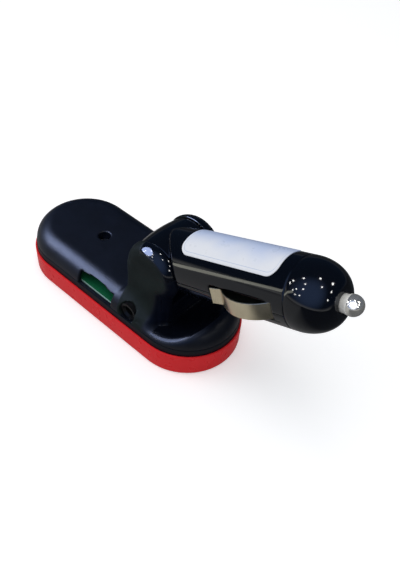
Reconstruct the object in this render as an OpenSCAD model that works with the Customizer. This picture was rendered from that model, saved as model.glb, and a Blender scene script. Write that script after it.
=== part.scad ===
// Car FM transmitter: a flat display housing, and a lighter plug that swings on it.
// Millimetres. The housing lies face down: the origin is on its front face, at the middle.
// +X runs along the housing to the hinge end, +Y to the far side, +Z up to the rear cover.

/* [Housing] */
// Length of the housing over the red frame
base_l = 88.5; // [87:0.5:96]
// Width of the housing over the red frame
base_w = 37.3; // [36.8:0.1:40]
// Height of the red frame
rim_h = 8.4; // [8.2:0.05:9]
// Wall of the red frame
rim_wall = 1.6; // [1.4:0.1:1.8]
// Width of the frame's lip that shows round the rear cover
rim_lip = 0.65; // [0.5:0.05:0.8]
// Depth of the seat that the rear cover sits in
rim_seat = 1; // [0.8:0.1:1.4]
// Width of the frame's ledge that holds the front panel
ledge_w = 2.6; // [2.4:0.1:3]
// Thickness of that ledge
ledge_t = 1.2; // [1:0.1:1.4]
// Rounding of the frame's front edge
rim_round = 0.8; // [0.4:0.1:1]

/* [Rear cover] */
// Height of the flat top of the rear cover
cover_top = 17.4; // [17:0.1:18]
// Wall of the rear cover
cover_wall = 1.6; // [1.3:0.1:1.8]
// Radius of the rounding round the top
cover_round = 6.4; // [6:0.1:7]
// Height of the crisp line round the cover
line_z = 10.9; // [10.4:0.1:11]
// How far the cover steps in at that line
line_inset = 0.2; // [0.1:0.05:0.3]
// Radius of the hollow under the plug
dish_r = 15.8; // [15.4:0.1:16]
// Distance from the hinge to that hollow's axis, along the housing
dish_ahead = 7.6; // [6.8:0.1:8.2]
// Height of that hollow's axis
dish_z = 28.3; // [28.1:0.1:29]

/* [Hinge] */
// Distance from the hinge to the end of the housing
hinge_end = 25.5; // [25:0.05:25.8]
// Height of the hinge
hinge_z = 30.3; // [30.2:0.1:32]
// Angle of the plug above the housing at rest
plug_tilt = 22.2; // [0:0.1:60]
// Radius of the two cheeks beside the tongue
cheek_r = 10.1; // [9.9:0.05:10.1]
// Radius of the cheeks' outer faces
cheek_face_r = 8; // [7.6:0.1:8.2]
// Half width of the pair of cheeks at the top
cheek_half_w = 12.6; // [12.4:0.1:13]
// Radius of the plug's tongue
tongue_r = 9.6; // [9.2:0.1:9.8]
// Half width of the plug's tongue
tongue_half_w = 8.24; // [8:0.02:8.3]
// Radius of the hinge pins
pin_r = 2.5; // [2.3:0.1:2.8]
// Radius of the hole through the hinge pins
pin_hole_r = 1.4; // [1.3:0.1:1.5]

/* [Plug] */
// Radius of the barrel
barrel_r = 10.25; // [10.15:0.05:10.4]
// Wall of the barrel
barrel_wall = 1.5; // [1.4:0.1:1.7]
// Distance from the hinge to the seam of the nose
nose_s = 50.5; // [50.5:0.1:52]
// Length of the nose from that seam
nose_l = 11.2; // [10.8:0.1:12]
// Straight part of the nose
nose_straight = 0.9; // [0.5:0.1:1.5]
// Radius of the nose's flat end
nose_end_r = 3; // [2.9:0.1:3.4]
// Radius of the centre contact's shank
shank_r = 2.5; // [2.3:0.1:2.55]
// Radius of the centre contact's ball
ball_r = 2.9; // [2.8:0.1:3]
// Travel of the centre contact
tip_depth = 1; // [0.5:0.1:1.2]

/* [Label] */
// Distance from the hinge to the label
label_s = 11.5; // [11.2:0.1:13]
// Length of the label
label_l = 35; // [30:0.5:36]
// Half width of the label, seen from above
label_half_w = 7; // [5:0.5:7.5]
// Radius of the label's corners
label_corner = 3; // [1:0.5:4]
// Thickness of the label
label_t = 0.15; // [0.1:0.05:0.2]

/* [Ground clips] */
// Width of the strap
clip_w = 5.2; // [4.8:0.1:5.4]
// Thickness of the strap
clip_t = 0.4; // [0.3:0.05:0.5]
// Where the bulge leaves the barrel, from the hinge
clip_s = 29.2; // [29:0.1:29.4]
// Length of the bulge
clip_l = 15.5; // [15.2:0.1:15.7]
// How far the bulge stands out
clip_out = 2.85; // [2.5:0.05:3]
// Length of the end tab
tab_l = 3.6; // [3:0.1:3.8]
// How far the end tab stands out
tab_out = 0.6; // [0.4:0.05:0.8]
// How far the straps and the barrel's parting lie below its axis
split_drop = 1.1; // [0.8:0.1:1.2]

/* [Front] */
// Length of the display window
lens_l = 32; // [28:0.5:33]
// Width of the display window
lens_w = 17; // [14:0.5:18]
// Distance from the housing's screw to the middle of the display
display_ahead = 21.55; // [21.2:0.05:22]
// Radius of the large button
play_r = 5; // [4:0.1:5.2]
// Radius of the small buttons
small_r = 3.8; // [3:0.1:4]
// Travel of the buttons
press_depth = 0.5; // [0.2:0.05:0.5]

/* [Sockets] */
// Length of the card slot
slot_l = 16; // [15:0.1:16.4]
// Height of the card slot
slot_h = 4.7; // [4.4:0.1:4.8]
// Distance from the audio jack back to the middle of the card slot
slot_back = 15.4; // [15:0.05:15.8]
// Radius of the audio jack's hole
jack_r = 1.8; // [1.75:0.05:1.85]
// Depth of the audio jack's hole
jack_depth = 10; // [9:0.5:11]
// Distance from the hinge back to the audio jack
jack_back = 4.4; // [4.15:0.05:4.55]

/* [Hidden] */

$fn = 96;

// One overrun serves all cuts.
overrun = 0.5;
// Clearance between pieces that fit into each other
fit = 0.05;
// Clearance round a piece that slides in a hole of another
slide_gap = 0.2;
// Clearance between curved faces that pass each other
pass_gap = 0.3;

// Places along the housing that follow its length
hinge_x = base_l / 2 - hinge_end;
dish_x = hinge_x + dish_ahead;
jack_x = hinge_x - jack_back;
slot_x = jack_x - slot_back;

// Front panel, its pillars and the screw that holds the housing together
panel_t = 2.2;
panel_flange_t = panel_t - ledge_t;
lens_t = 1;
lens_lip = 1.5;
boss_r = 2.6;
pillar_r = 1.3;
pillar_inset = 5.15;
pillar_y = base_w / 2 - pillar_inset;
screw_r = 1;
screw_head_r = 2;
screw_head_h = 1.4;
screw_end_z = 4.5;
recess_r = 2.2;
post_r = 3.6;
cross_w = 0.6;
cross_l = 2.4;
cross_depth = 0.9;

// Boards
board_z = 10.9;
board_t = 1;
board_under = board_z - board_t;

// Chips: places as shares of the board's length and width, then length, width and height as
// shares of the largest one's side
chip_side = 8;
chip_shares = [[-0.313, 0.266, 1, 1, 0.17], [-0.325, -0.282, 0.75, 0.75, 0.13],
    [-0.409, -0.094, 1, 0.44, 0.32], [-0.16, 0.266, 1, 0.5, 0.19],
    [0.397, -0.157, 0.37, 0.62, 0.08], [-0.24, -0.313, 0.37, 0.62, 0.15],
    [-0.409, 0.188, 0.37, 0.2, 0.1], [-0.19, 0.4, 0.37, 0.2, 0.1],
    [-0.024, 0.4, 0.37, 0.2, 0.1], [0.409, 0.188, 0.37, 0.2, 0.08]];
capacitor_r = 2.4;
capacitor_h = 5;
capacitor_back = 3.55;
capacitor_pitch = 5.4;
capacitor_y = 6;

// Display
glass_l = 34;
glass_w = 20;
glass_t = 2;
backlight_t = 3.15;
backlight_rim = 0.6;
pin_rows = 5;
header_r = 0.4;

// Buttons: the large one stands at one end, two small ones beside the screw, two at the other end
play_end = 9;
left_back = 3;
left_y = 8.4;
right_end = 10.75;
right_y = 6.8;
play_x = play_end - base_l / 2;
right_x = base_l / 2 - right_end;
button_low = 0.1;
button_dome = 0.3;
button_rim = 0.8;
flange_h = 0.75;
stem_r = 1.5;
switch_w = 6;
switch_h = 3.3;
plunger_r = 1.6;
plunger_h = 1.3;
stem_top = board_under - switch_h - plunger_h - press_depth - fit;

// Card socket and its slot in the cover
slot_sill = 0.3;
slot_z = board_z - slot_sill;
notch_r = 26;
notch_rise = 0.6;
socket_l = 14.3;
socket_depth = 14.5;
socket_h = 1.9;
socket_inset = 8.05;
socket_y = socket_inset - base_w / 2;
socket_wall = 0.25;
card_w = 11.2;
card_h = 1.1;

// The housing's screw stands between the large button and the card socket
screw_share = 0.784;
screw_first = play_x + play_r + button_rim + boss_r;
screw_last = slot_x - socket_l / 2 - post_r;
screw_x = screw_first + screw_share * (screw_last - screw_first);
left_x = screw_x - left_back;
display_x = screw_x + display_ahead;

// Audio jack
jack_w = 6.8;
jack_l = 12;
jack_h = 4.6;
jack_inset = 5.25;
jack_y = jack_inset - base_w / 2;
jack_nose_r = 3.3;
jack_mouth_r = 2.5;
jack_cone = 0.8;
jack_nose_l = 3;
jack_z = board_z + jack_h / 2;
jack_gap = 0.1;
vent_ahead = 4.55;
vent_x = jack_x + vent_ahead;
vent_l = 1.8;
vent_h = 0.7;
vent_depth = 1;

// Rear cover
dish_wall = 1.3;
cover_w = base_w - 2 * (rim_lip + fit);
cover_l = base_l - 2 * (rim_lip + fit);
seat_z = rim_h - rim_seat;
dome_w = cover_w - 2 * line_inset;
dome_l = cover_l - 2 * line_inset;
board_l = dome_l - 2 * (cover_wall + slide_gap);
board_w = dome_w - 2 * (cover_wall + slide_gap);

// Cheeks: they narrow below the hinge, flare out at their feet and are hollow
cheek_gap = tongue_half_w + 3 * fit;
cheek_straight = cheek_gap + 2 * fit;
rim_rise = cheek_r - cheek_face_r;
rim_run = cheek_half_w - cheek_straight;
rim_arc = (rim_run * rim_run + rim_rise * rim_rise) / (2 * rim_rise);
cheek_foot_left = 7.6;
cheek_foot_right = 7;
cheek_side_right = 8;
cheek_side_drop = 6.2;
foot_z = seat_z + rim_seat / 2;
flare_top = 22;
flare_turn = 60;
flare_steps = 6;
saddle_z = hinge_z - tongue_r - 3 * pass_gap;
well_r = 6;
well_inner = 9.8;
well_outer = 11.4;
well_foot = 14;
saddle_hollow_l = 13;
saddle_hollow_top = 18.2;

// Hinge pins and washers
pin_inner = 4;
pin_flange_r = 3.6;
pin_flange_t = 0.6;
washer_r = 4.5;
washer_t = 0.5;

// Barrel
root_r = cheek_r + pass_gap;
cavity_r = barrel_r - barrel_wall;
cavity_s = 13.5;
neck_l = 3.5;
neck_r = 8.8;
neck_bore_r = 7.6;
tongue_hollow_half_w = 3.8;
tongue_hollow_back = 3;
tongue_hollow_half_h = 2.5;
parting = 0.02;
slot_s = 24.6;
slot_half_h = clip_w / 2 + slide_gap;
slot_low = -slot_half_h - split_drop;
slot_high = slot_half_h - split_drop;
slot_in = 7;
foot_l = 1.8;
foot_reach = 1.1;
foot_s = clip_s + clip_l + foot_reach;
foot_sink = 1.5;
foot_y = barrel_r - foot_sink;
foot_pocket = 0.2;
foot_bead_r = 0.75 * clip_t;
slot_end = foot_s + foot_pocket;

// Nose and centre contact
nose_bore_r = shank_r + 2 * fit;
ball_out = tip_depth + sqrt(ball_r * ball_r - nose_bore_r * nose_bore_r) + 2 * fit;
thread_gap = 0.1;
nose_shoulder_s = nose_s + neck_l + thread_gap;
tip_flange_r = 4.2;
tip_flange_t = 1.05;
tip_flange_s = nose_shoulder_s - fit - tip_flange_t;
ball_s = nose_s + nose_l + ball_out;
nose_steps = 16;

// Fuse, its holder and the spring behind it
fuse_l = 20;
fuse_cap_l = 5;
fuse_cap_r = 2.6;
fuse_glass_r = 2.4;
fuse_front = tip_flange_s;
fuse_back = fuse_front - fuse_l;
spring_l = 10;
spring_back = fuse_back - spring_l;
spring_r = 2;
spring_wire_r = 0.3;
spring_curls = 7;
spring_rings = 8;
spring_sides = 6;
terminal_t = 1.1;
terminal_r = 2.7;
holder_bore_r = 2.75;
holder_r = 3.6;
holder_wall = 1;
holder_end = 47.5;
holder_foot_l = 3;
holder_foot_w = 4;

// Converter board in the plug
plug_board_s = 14.2;
plug_board_l = 32;
plug_board_w = 12.5;
plug_board_t = 1;
plug_board_z = -4.4;
rib_t = 1.2;
rib_inset = 2;
rib_w = 8;
coil_w = 6;
coil_h = 2;
coil_s = 34;
chip_l = 5;
chip_w = 4;
chip_h = 1.5;
chip_s = 24;
smoothing_r = 2.5;
smoothing_h = 7;

// Leads
lead_r = 0.45;
lead_pitch = 1.2;
lead_y = 10.9;
lead_stop = 3.4;
lead_start = 3.1;
lead_sides = 8;
lead_spread = 8;
lead_bend_s = 7;
lead_dip_s = 15.1;
lead_dip = 2;
lead_land_s = 16.2;

// A flat outline with round ends
module obround_2d(l, w) {
    square([l - w, w], center = true);
    for (side = [-1, 1]) translate([side * (l - w) / 2, 0]) circle(d = w);
}

// An upright plate with round ends
module obround(l, w, low, high) {
    translate([0, 0, low]) linear_extrude(high - low) obround_2d(l, w);
}

// Half outline of a body with round ends whose top edge is rounded
module edge_profile(w, low, top, round) {
    translate([0, low]) square([w / 2 - round, top - low]);
    translate([0, low]) square([w / 2, top - round - low]);
    intersection() {
        translate([w / 2 - round, top - round]) circle(r = round);
        translate([w / 2 - round, top - round]) square(round);
    }
}

// A body with round ends and a rounded top edge
module rounded_body(l, w, low, top, round) {
    reach = (l - w) / 2;
    for (side = [-1, 1])
        translate([side * reach, 0, 0]) rotate([0, 0, -90 * side])
            rotate_extrude(angle = 180) edge_profile(w, low, top, round);
    translate([-reach, 0, 0]) rotate([90, 0, 90]) linear_extrude(2 * reach) {
        edge_profile(w, low, top, round);
        mirror([1, 0]) edge_profile(w, low, top, round);
    }
}

// A round bar along Y, about the middle
module cross_bar(r, half_l) {
    rotate([90, 0, 0]) cylinder(r = r, h = 2 * half_l, center = true);
}

// A round bar along X from one distance to another
module axle(r, from, to) {
    translate([from, 0, 0]) rotate([0, 90, 0]) cylinder(r = r, h = to - from);
}

// A box given by its lowest corner and its highest corner
module block(low, high) {
    translate(low) cube(high - low);
}

// The hinge's place in the housing
module at_hinge() {
    translate([hinge_x, 0, hinge_z]) children();
}

// The plug's own frame: +X along the plug, from the hinge
module at_plug() {
    at_hinge() rotate([0, -plug_tilt, 0]) children();
}

module front_bezel() {
    color("firebrick") difference() {
        translate([0, 0, rim_h]) mirror([0, 0, 1])
            rounded_body(base_l, base_w, 0, rim_h, rim_round);
        obround(base_l - 2 * ledge_w, base_w - 2 * ledge_w, -overrun, rim_h);
        obround(base_l - 2 * rim_wall, base_w - 2 * rim_wall, ledge_t, rim_h);
        obround(base_l - 2 * rim_lip, base_w - 2 * rim_lip, seat_z, rim_h + overrun);
    }
}

// Holes in the panel for the buttons
module button_holes() {
    translate([play_x, 0, -overrun])
        cylinder(r = play_r + slide_gap, h = panel_t + 2 * overrun);
    for (place = [[left_x, left_y], [left_x, -left_y], [right_x, right_y], [right_x, -right_y]])
        translate([place.x, place.y, -overrun])
            cylinder(r = small_r + slide_gap, h = panel_t + 2 * overrun);
}

module front_panel() {
    raised = ledge_w + fit;
    flange = rim_wall + fit;
    color("black") difference() {
        union() {
            obround(base_l - 2 * raised, base_w - 2 * raised, 0, panel_t);
            obround(base_l - 2 * flange, base_w - 2 * flange, ledge_t, panel_t);
            translate([screw_x, 0, ledge_t]) cylinder(r = boss_r, h = board_under - ledge_t);
            for (sx = [-1, 1], sy = [-1, 1])
                translate([display_x + sx * (glass_l / 2 + pillar_r + slide_gap), sy * pillar_y, ledge_t])
                    cylinder(r = pillar_r, h = board_under - ledge_t);
        }
        block([display_x - lens_l / 2 - fit, -lens_w / 2 - fit, -overrun],
            [display_x + lens_l / 2 + fit, lens_w / 2 + fit, lens_t]);
        block([display_x - lens_l / 2 + lens_lip, -lens_w / 2 + lens_lip, 0],
            [display_x + lens_l / 2 - lens_lip, lens_w / 2 - lens_lip, panel_t + overrun]);
        button_holes();
        translate([screw_x, 0, panel_t]) cylinder(r = screw_r + fit, h = board_z);
    }
}

module display_lens() {
    color("darkslategray")
        block([display_x - lens_l / 2, -lens_w / 2, 0], [display_x + lens_l / 2, lens_w / 2, lens_t]);
}

module lcd_module() {
    low = panel_t + fit;
    color("darkseagreen")
        block([display_x - glass_l / 2, -glass_w / 2, low],
            [display_x + glass_l / 2, glass_w / 2, low + glass_t]);
}

module lcd_backlight() {
    low = panel_t + fit + glass_t;
    inset = backlight_rim;
    row = (glass_l - 4 * backlight_rim) / (pin_rows - 1);
    color("white") {
        block([display_x - glass_l / 2 + inset, -glass_w / 2 + inset, low],
            [display_x + glass_l / 2 - inset, glass_w / 2 - inset, low + backlight_t]);
        for (k = [0:pin_rows - 1], side = [-1, 1])
            translate([display_x - glass_l / 2 + 2 * inset + k * row,
                side * (glass_w / 2 - 2 * inset), low + backlight_t - inset])
                cylinder(r = header_r, h = board_under - low - backlight_t + inset);
    }
}

module main_board() {
    color("seagreen") difference() {
        obround(board_l, board_w, board_under, board_z);
        translate([screw_x, 0, board_under - overrun])
            cylinder(r = screw_r + slide_gap, h = board_t + 2 * overrun);
        block([jack_x - jack_nose_r - slide_gap, -board_w, board_under - overrun],
            [jack_x + jack_nose_r + slide_gap, jack_y + overrun + slide_gap, board_z + overrun]);
    }
}

// Chips lie on the board
module board_chips() {
    color("dimgray") for (c = chip_shares)
        translate([c[0] * board_l, c[1] * board_w, board_z + c[4] * chip_side / 2])
            cube([c[2], c[3], c[4]] * chip_side, center = true);
}

module board_capacitors() {
    color("midnightblue") for (k = [0:1])
        translate([hinge_x - capacitor_back + k * capacitor_pitch, capacitor_y, board_z])
            cylinder(r = capacitor_r, h = capacitor_h);
}

module one_switch() {
    low = board_under - switch_h;
    block([-switch_w / 2, -switch_w / 2, low], [switch_w / 2, switch_w / 2, board_under]);
    translate([0, 0, low - plunger_h]) cylinder(r = plunger_r, h = plunger_h);
}

module tact_switches() {
    color("silver") {
        translate([play_x, 0, 0]) one_switch();
        for (place = [[left_x, left_y], [left_x, -left_y], [right_x, right_y], [right_x, -right_y]])
            translate([place.x, place.y, 0]) one_switch();
    }
}

module card_socket() {
    color("silver") difference() {
        block([slot_x - socket_l / 2, socket_y, board_z],
            [slot_x + socket_l / 2, socket_y + socket_depth, board_z + socket_h]);
        block([slot_x - card_w / 2, socket_y - overrun, board_z + socket_wall],
            [slot_x + card_w / 2, socket_y + socket_depth - socket_l / 8,
                board_z + socket_wall + card_h]);
    }
}

module line_in_jack() {
    color("dimgray") difference() {
        union() {
            block([jack_x - jack_w / 2, jack_y, board_z],
                [jack_x + jack_w / 2, jack_y + jack_l, board_z + jack_h]);
            translate([jack_x, jack_y + overrun, jack_z]) rotate([90, 0, 0])
                cylinder(r = jack_nose_r, h = jack_nose_l + overrun);
        }
        translate([jack_x, jack_y - jack_nose_l + jack_cone + jack_depth, jack_z])
            rotate([90, 0, 0]) cylinder(r = jack_r, h = jack_depth + overrun);
        translate([jack_x, jack_y - jack_nose_l + jack_cone, jack_z]) rotate([90, 0, 0])
            cylinder(r1 = jack_r, r2 = jack_mouth_r, h = jack_cone);
    }
}

// Outline of the cheeks, from the hinge out: radius, then distance from the middle
module cheek_profile() {
    translate([0, cheek_gap]) square([cheek_r, cheek_straight - cheek_gap]);
    translate([0, cheek_gap]) square([cheek_face_r + fit, cover_w / 2 - cheek_gap]);
    intersection() {
        translate([cheek_r - rim_arc, cheek_straight]) circle(r = rim_arc);
        square([cheek_r, cheek_half_w]);
        translate([0, cheek_straight]) square([cheek_r, rim_run]);
    }
}

// Round head of the far cheek, and the same outline carried down to the frame
module cheek_rounding() {
    at_hinge() rotate([-90, 0, 0]) rotate_extrude() cheek_profile();
    translate([hinge_x, 0, foot_z]) linear_extrude(hinge_z - foot_z) {
        cheek_profile();
        mirror([1, 0]) cheek_profile();
    }
}

// Side view of the cheeks: a round head on a foot that narrows downwards
module cheek_side_view() {
    at_hinge() cross_bar(cheek_r, cover_w / 2);
    translate([0, cover_w / 2, 0]) rotate([90, 0, 0]) linear_extrude(cover_w)
        polygon([[hinge_x - cheek_r, hinge_z], [hinge_x - cheek_foot_left, foot_z],
            [hinge_x + cheek_foot_right, foot_z], [hinge_x + cheek_side_right, hinge_z - cheek_side_drop],
            [hinge_x + cheek_side_right, hinge_z]]);
}

// Outline of one flared face, from its straight top down to the crisp line
function flare_points() = [for (k = [0:flare_steps]) let (turn = flare_turn * k / flare_steps)
    [cheek_half_w + (dome_w / 2 - cheek_half_w) * (1 - cos(turn)) / (1 - cos(flare_turn)),
        flare_top - (flare_top - line_z) * sin(turn) / sin(flare_turn)]];

// End view of the cheeks: straight faces that flare out at their feet
module cheek_end_view() {
    crown = hinge_z + cheek_r + overrun;
    translate([hinge_x - 2 * cheek_r, 0, 0]) rotate([90, 0, 90]) linear_extrude(4 * cheek_r)
        polygon(concat([[0, foot_z], [0, crown], [cheek_half_w, crown]], flare_points(),
            [[dome_w / 2, foot_z]]));
}

// Both cheeks and the low saddle between them
module cheeks() {
    for (side = [0, 1]) mirror([0, side, 0]) intersection() {
        cheek_rounding();
        cheek_side_view();
        cheek_end_view();
    }
    intersection() {
        cheek_side_view();
        block([hinge_x - 2 * cheek_r, -cheek_gap - cover_wall, foot_z],
            [hinge_x + 2 * cheek_r, cheek_gap + cover_wall, saddle_z]);
    }
}

// The wells inside the cheeks, which the leads and pin heads need
module cheek_wells() {
    for (side = [0, 1]) mirror([0, side, 0]) translate([0, (well_inner + well_outer) / 2, 0]) {
        at_hinge() cross_bar(well_r, (well_outer - well_inner) / 2);
        block([hinge_x - well_r, (well_inner - well_outer) / 2, well_foot],
            [hinge_x + well_r, (well_outer - well_inner) / 2, hinge_z]);
    }
}

// Room under the cheeks for the board and what stands on it
module cheek_hollow() {
    block([hinge_x - saddle_hollow_l / 2, -well_outer, board_z],
        [hinge_x + saddle_hollow_l / 2 - cover_wall, well_outer, saddle_hollow_top]);
    cheek_wells();
}

// Inside of the rear cover
module cover_hollow() {
    inner_w = dome_w - 2 * cover_wall;
    inner_l = dome_l - 2 * cover_wall;
    difference() {
        union() {
            rounded_body(inner_l, inner_w, seat_z - overrun, cover_top - cover_wall,
                cover_round - cover_wall);
            obround(inner_l, inner_w, seat_z - overrun, line_z);
        }
        translate([dish_x, 0, dish_z]) cross_bar(dish_r + dish_wall, cover_w);
    }
    cheek_hollow();
}

// Card slot with its thumb notch, and the small opening beside the jack
module cover_side_cuts() {
    block([slot_x - slot_l / 2, -cover_w, slot_z],
        [slot_x + slot_l / 2, socket_y + slide_gap, slot_z + slot_h]);
    intersection() {
        translate([slot_x, -cover_w / 2, slot_z + slot_h + notch_rise - notch_r])
            cross_bar(notch_r, cover_round);
        block([slot_x - slot_l / 2, -cover_w, slot_z + slot_h / 2],
            [slot_x + slot_l / 2, socket_y, cover_top]);
    }
    block([jack_x - jack_w / 2 - jack_gap, jack_y - jack_gap, board_z],
        [jack_x + jack_w / 2 + jack_gap, jack_y + jack_l, board_z + jack_h + jack_gap]);
    translate([jack_x, jack_y + overrun + jack_gap, jack_z]) rotate([90, 0, 0])
        cylinder(r = jack_nose_r + jack_gap, h = cover_w);
    block([vent_x, -cover_w / 2, jack_z - vent_h / 2],
        [vent_x + vent_l, -cover_w / 2 + vent_depth, jack_z + vent_h / 2]);
}

module rear_cover() {
    color("black") difference() {
        union() {
            difference() {
                union() {
                    obround(cover_l, cover_w, seat_z, line_z);
                    rounded_body(dome_l, dome_w, seat_z, cover_top, cover_round);
                }
                translate([dish_x, 0, dish_z]) cross_bar(dish_r, cover_w);
                cover_hollow();
            }
            difference() {
                cheeks();
                obround(dome_l - 2 * cover_wall, dome_w - 2 * cover_wall, 0, board_z + slide_gap);
                cheek_hollow();
            }
            translate([screw_x, 0, board_z])
                cylinder(r = post_r, h = cover_top - cover_wall / 2 - board_z);
        }
        cover_side_cuts();
        at_hinge() cross_bar(pin_r + fit, well_inner + overrun);
        for (side = [0, 1]) mirror([0, side, 0])
            at_hinge() translate([0, cheek_gap + washer_t / 2, 0])
                cross_bar(washer_r + fit, washer_t / 2);
        translate([screw_x, 0, board_z - overrun])
            cylinder(r = screw_r + slide_gap, h = cover_top);
        translate([screw_x, 0, cover_top - screw_head_h - cover_wall * 2])
            cylinder(r = recess_r, h = cover_top);
    }
}

module rear_screw() {
    head_z = cover_top - screw_head_h - cover_wall * 2;
    top = head_z + screw_head_h;
    color("silver") translate([screw_x, 0, 0]) difference() {
        union() {
            translate([0, 0, screw_end_z]) cylinder(r = screw_r, h = head_z - screw_end_z);
            translate([0, 0, head_z]) cylinder(r = screw_head_r, h = screw_head_h);
        }
        for (turn = [0, 90]) rotate([0, 0, turn])
            translate([0, 0, top]) cube([cross_l, cross_w, 2 * cross_depth], center = true);
    }
}

// A hollow stub pin with its head in the cheek's well
module hinge_pin() {
    color("silver") at_hinge() rotate([-90, 0, 0]) difference() {
        union() {
            translate([0, 0, pin_inner]) cylinder(r = pin_r, h = well_inner - pin_inner);
            translate([0, 0, well_inner]) cylinder(r = pin_flange_r, h = pin_flange_t);
        }
        cylinder(r = pin_hole_r, h = cover_w);
    }
}

module hinge_pin_near() {
    mirror([0, 1, 0]) hinge_pin();
}

module hinge_pin_far() {
    hinge_pin();
}

module hinge_washers() {
    color("silver") for (side = [0, 1]) mirror([0, side, 0])
        at_hinge() rotate([-90, 0, 0]) translate([0, 0, cheek_gap]) difference() {
            cylinder(r = washer_r, h = washer_t);
            translate([0, 0, -overrun])
                cylinder(r = pin_r + 2 * fit, h = washer_t + 2 * overrun);
        }
}

function unit(v) = v / norm(v);

// Ring of points round one point of a path
function ring_at(path, k, r, sides, across) = let (
    last = len(path) - 1,
    along = unit(path[min(k + 1, last)] - path[max(k - 1, 0)]),
    u = unit(cross(across, along)),
    v = cross(along, u))
    [for (j = [0:sides - 1]) path[k] + r * (cos(360 * j / sides) * u + sin(360 * j / sides) * v)];

// An unbroken tube along a path. The path never runs along the direction named across.
module tube(path, r, sides, across) {
    count = len(path);
    points = [for (k = [0:count - 1]) each ring_at(path, k, r, sides, across)];
    walls = [for (k = [0:count - 2], j = [0:sides - 1]) let (n = (j + 1) % sides)
        each [[k * sides + j, (k + 1) * sides + j, (k + 1) * sides + n],
            [k * sides + j, (k + 1) * sides + n, k * sides + n]]];
    first_end = [for (j = [1:sides - 2]) [0, j, j + 1]];
    last_end = [for (j = [1:sides - 2]) let (o = (count - 1) * sides) [o, o + j + 1, o + j]];
    polyhedron(points, concat(walls, first_end, last_end));
}

// Two leads climb from the board through the far cheek and the hollow pin to the hinge's middle
module base_leads() {
    color("crimson") for (side = [-0.5, 0.5]) {
        x = hinge_x + side * lead_pitch;
        tube([[x, lead_y, board_z], [x, lead_y, hinge_z - 3 * lead_r],
            [x, lead_y - 0.8 * lead_r, hinge_z - lead_r], [x, lead_y - 2.4 * lead_r, hinge_z],
            [x, lead_stop, hinge_z]], lead_r, lead_sides, [1, 0, 0]);
    }
}

// A button: cap, flange behind the panel and stem. It travels along Z.
module button(x, y, r) {
    color("gray") translate([x, y, 0]) {
        translate([0, 0, button_low + button_dome])
            cylinder(r = r, h = panel_t + fit - button_low - button_dome);
        translate([0, 0, button_low]) cylinder(r1 = r - button_dome, r2 = r, h = button_dome);
        translate([0, 0, panel_t + fit]) cylinder(r = r + button_rim, h = flange_h);
        translate([0, 0, panel_t + fit]) cylinder(r = stem_r, h = stem_top - panel_t - fit);
    }
}

module button_play() { button(play_x, 0, play_r); }

module button_previous() { button(left_x, -left_y, small_r); }

module button_next() { button(left_x, left_y, small_r); }

module button_channel_down() { button(right_x, -right_y, small_r); }

module button_channel_up() { button(right_x, right_y, small_r); }

// Whole barrel with its tongue, before it is split into two halves
module barrel_body() {
    difference() {
        union() {
            difference() {
                axle(barrel_r, 0, nose_s);
                cross_bar(root_r, barrel_r + overrun);
            }
            cross_bar(tongue_r, tongue_half_w);
            intersection() {
                axle(tongue_r, 0, cavity_s);
                block([0, -tongue_half_w, -tongue_r], [cavity_s, tongue_half_w, tongue_r]);
            }
            axle(neck_r, nose_s - overrun, nose_s + neck_l);
        }
        axle(cavity_r, cavity_s, nose_s - cavity_r + neck_bore_r);
        axle(neck_bore_r, cavity_s, nose_s + neck_l + overrun);
        cross_bar(pin_r + fit, tongue_half_w + overrun);
        block([-tongue_hollow_back, -tongue_hollow_half_w, -tongue_hollow_half_h],
            [cavity_s + overrun, tongue_hollow_half_w, tongue_hollow_half_h]);
        for (side = [0, 1]) mirror([0, side, 0]) {
            block([slot_s, slot_in, slot_low], [slot_end, barrel_r + overrun, slot_high]);
            block([slot_s, slot_in, slot_low],
                [foot_s + foot_l + foot_pocket, foot_y + clip_t / 2 + foot_pocket, slot_high]);
        }
    }
}

module barrel_upper() {
    color("black") at_plug() intersection() {
        barrel_body();
        block([-barrel_r, -barrel_r, parting - split_drop], [nose_s + nose_l, barrel_r, barrel_r]);
    }
}

// The lower half also carries two ribs that hold the board
module barrel_lower() {
    color("black") at_plug() {
        intersection() {
            barrel_body();
            block([-barrel_r, -barrel_r, -barrel_r],
                [nose_s + nose_l, barrel_r, -parting - split_drop]);
        }
        for (s = [plug_board_s + rib_inset, plug_board_s + plug_board_l - rib_inset - rib_t])
            intersection() {
                block([s, -rib_w / 2, -cavity_r - barrel_wall / 2],
                    [s + rib_t, rib_w / 2, plug_board_z - plug_board_t]);
                axle(cavity_r + barrel_wall / 2, s, s + rib_t);
            }
    }
}

// Outline of the nose: a straight part, then a quarter of an ellipse down to the flat end
module nose_profile() {
    a = nose_l - nose_straight;
    b = barrel_r - nose_end_r;
    polygon(concat([[0, 0], [barrel_r, 0]],
        [for (k = [0:nose_steps]) let (turn = 90 * k / nose_steps)
            [nose_end_r + b * cos(turn), nose_straight + a * sin(turn)]],
        [[0, nose_l]]));
}

module nose_cap() {
    color("black") at_plug() difference() {
        translate([nose_s, 0, 0]) rotate([0, 90, 0]) rotate_extrude() nose_profile();
        axle(neck_r + thread_gap, nose_s - overrun, nose_shoulder_s);
        axle(nose_bore_r, nose_s, nose_s + nose_l + overrun);
    }
}

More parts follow.
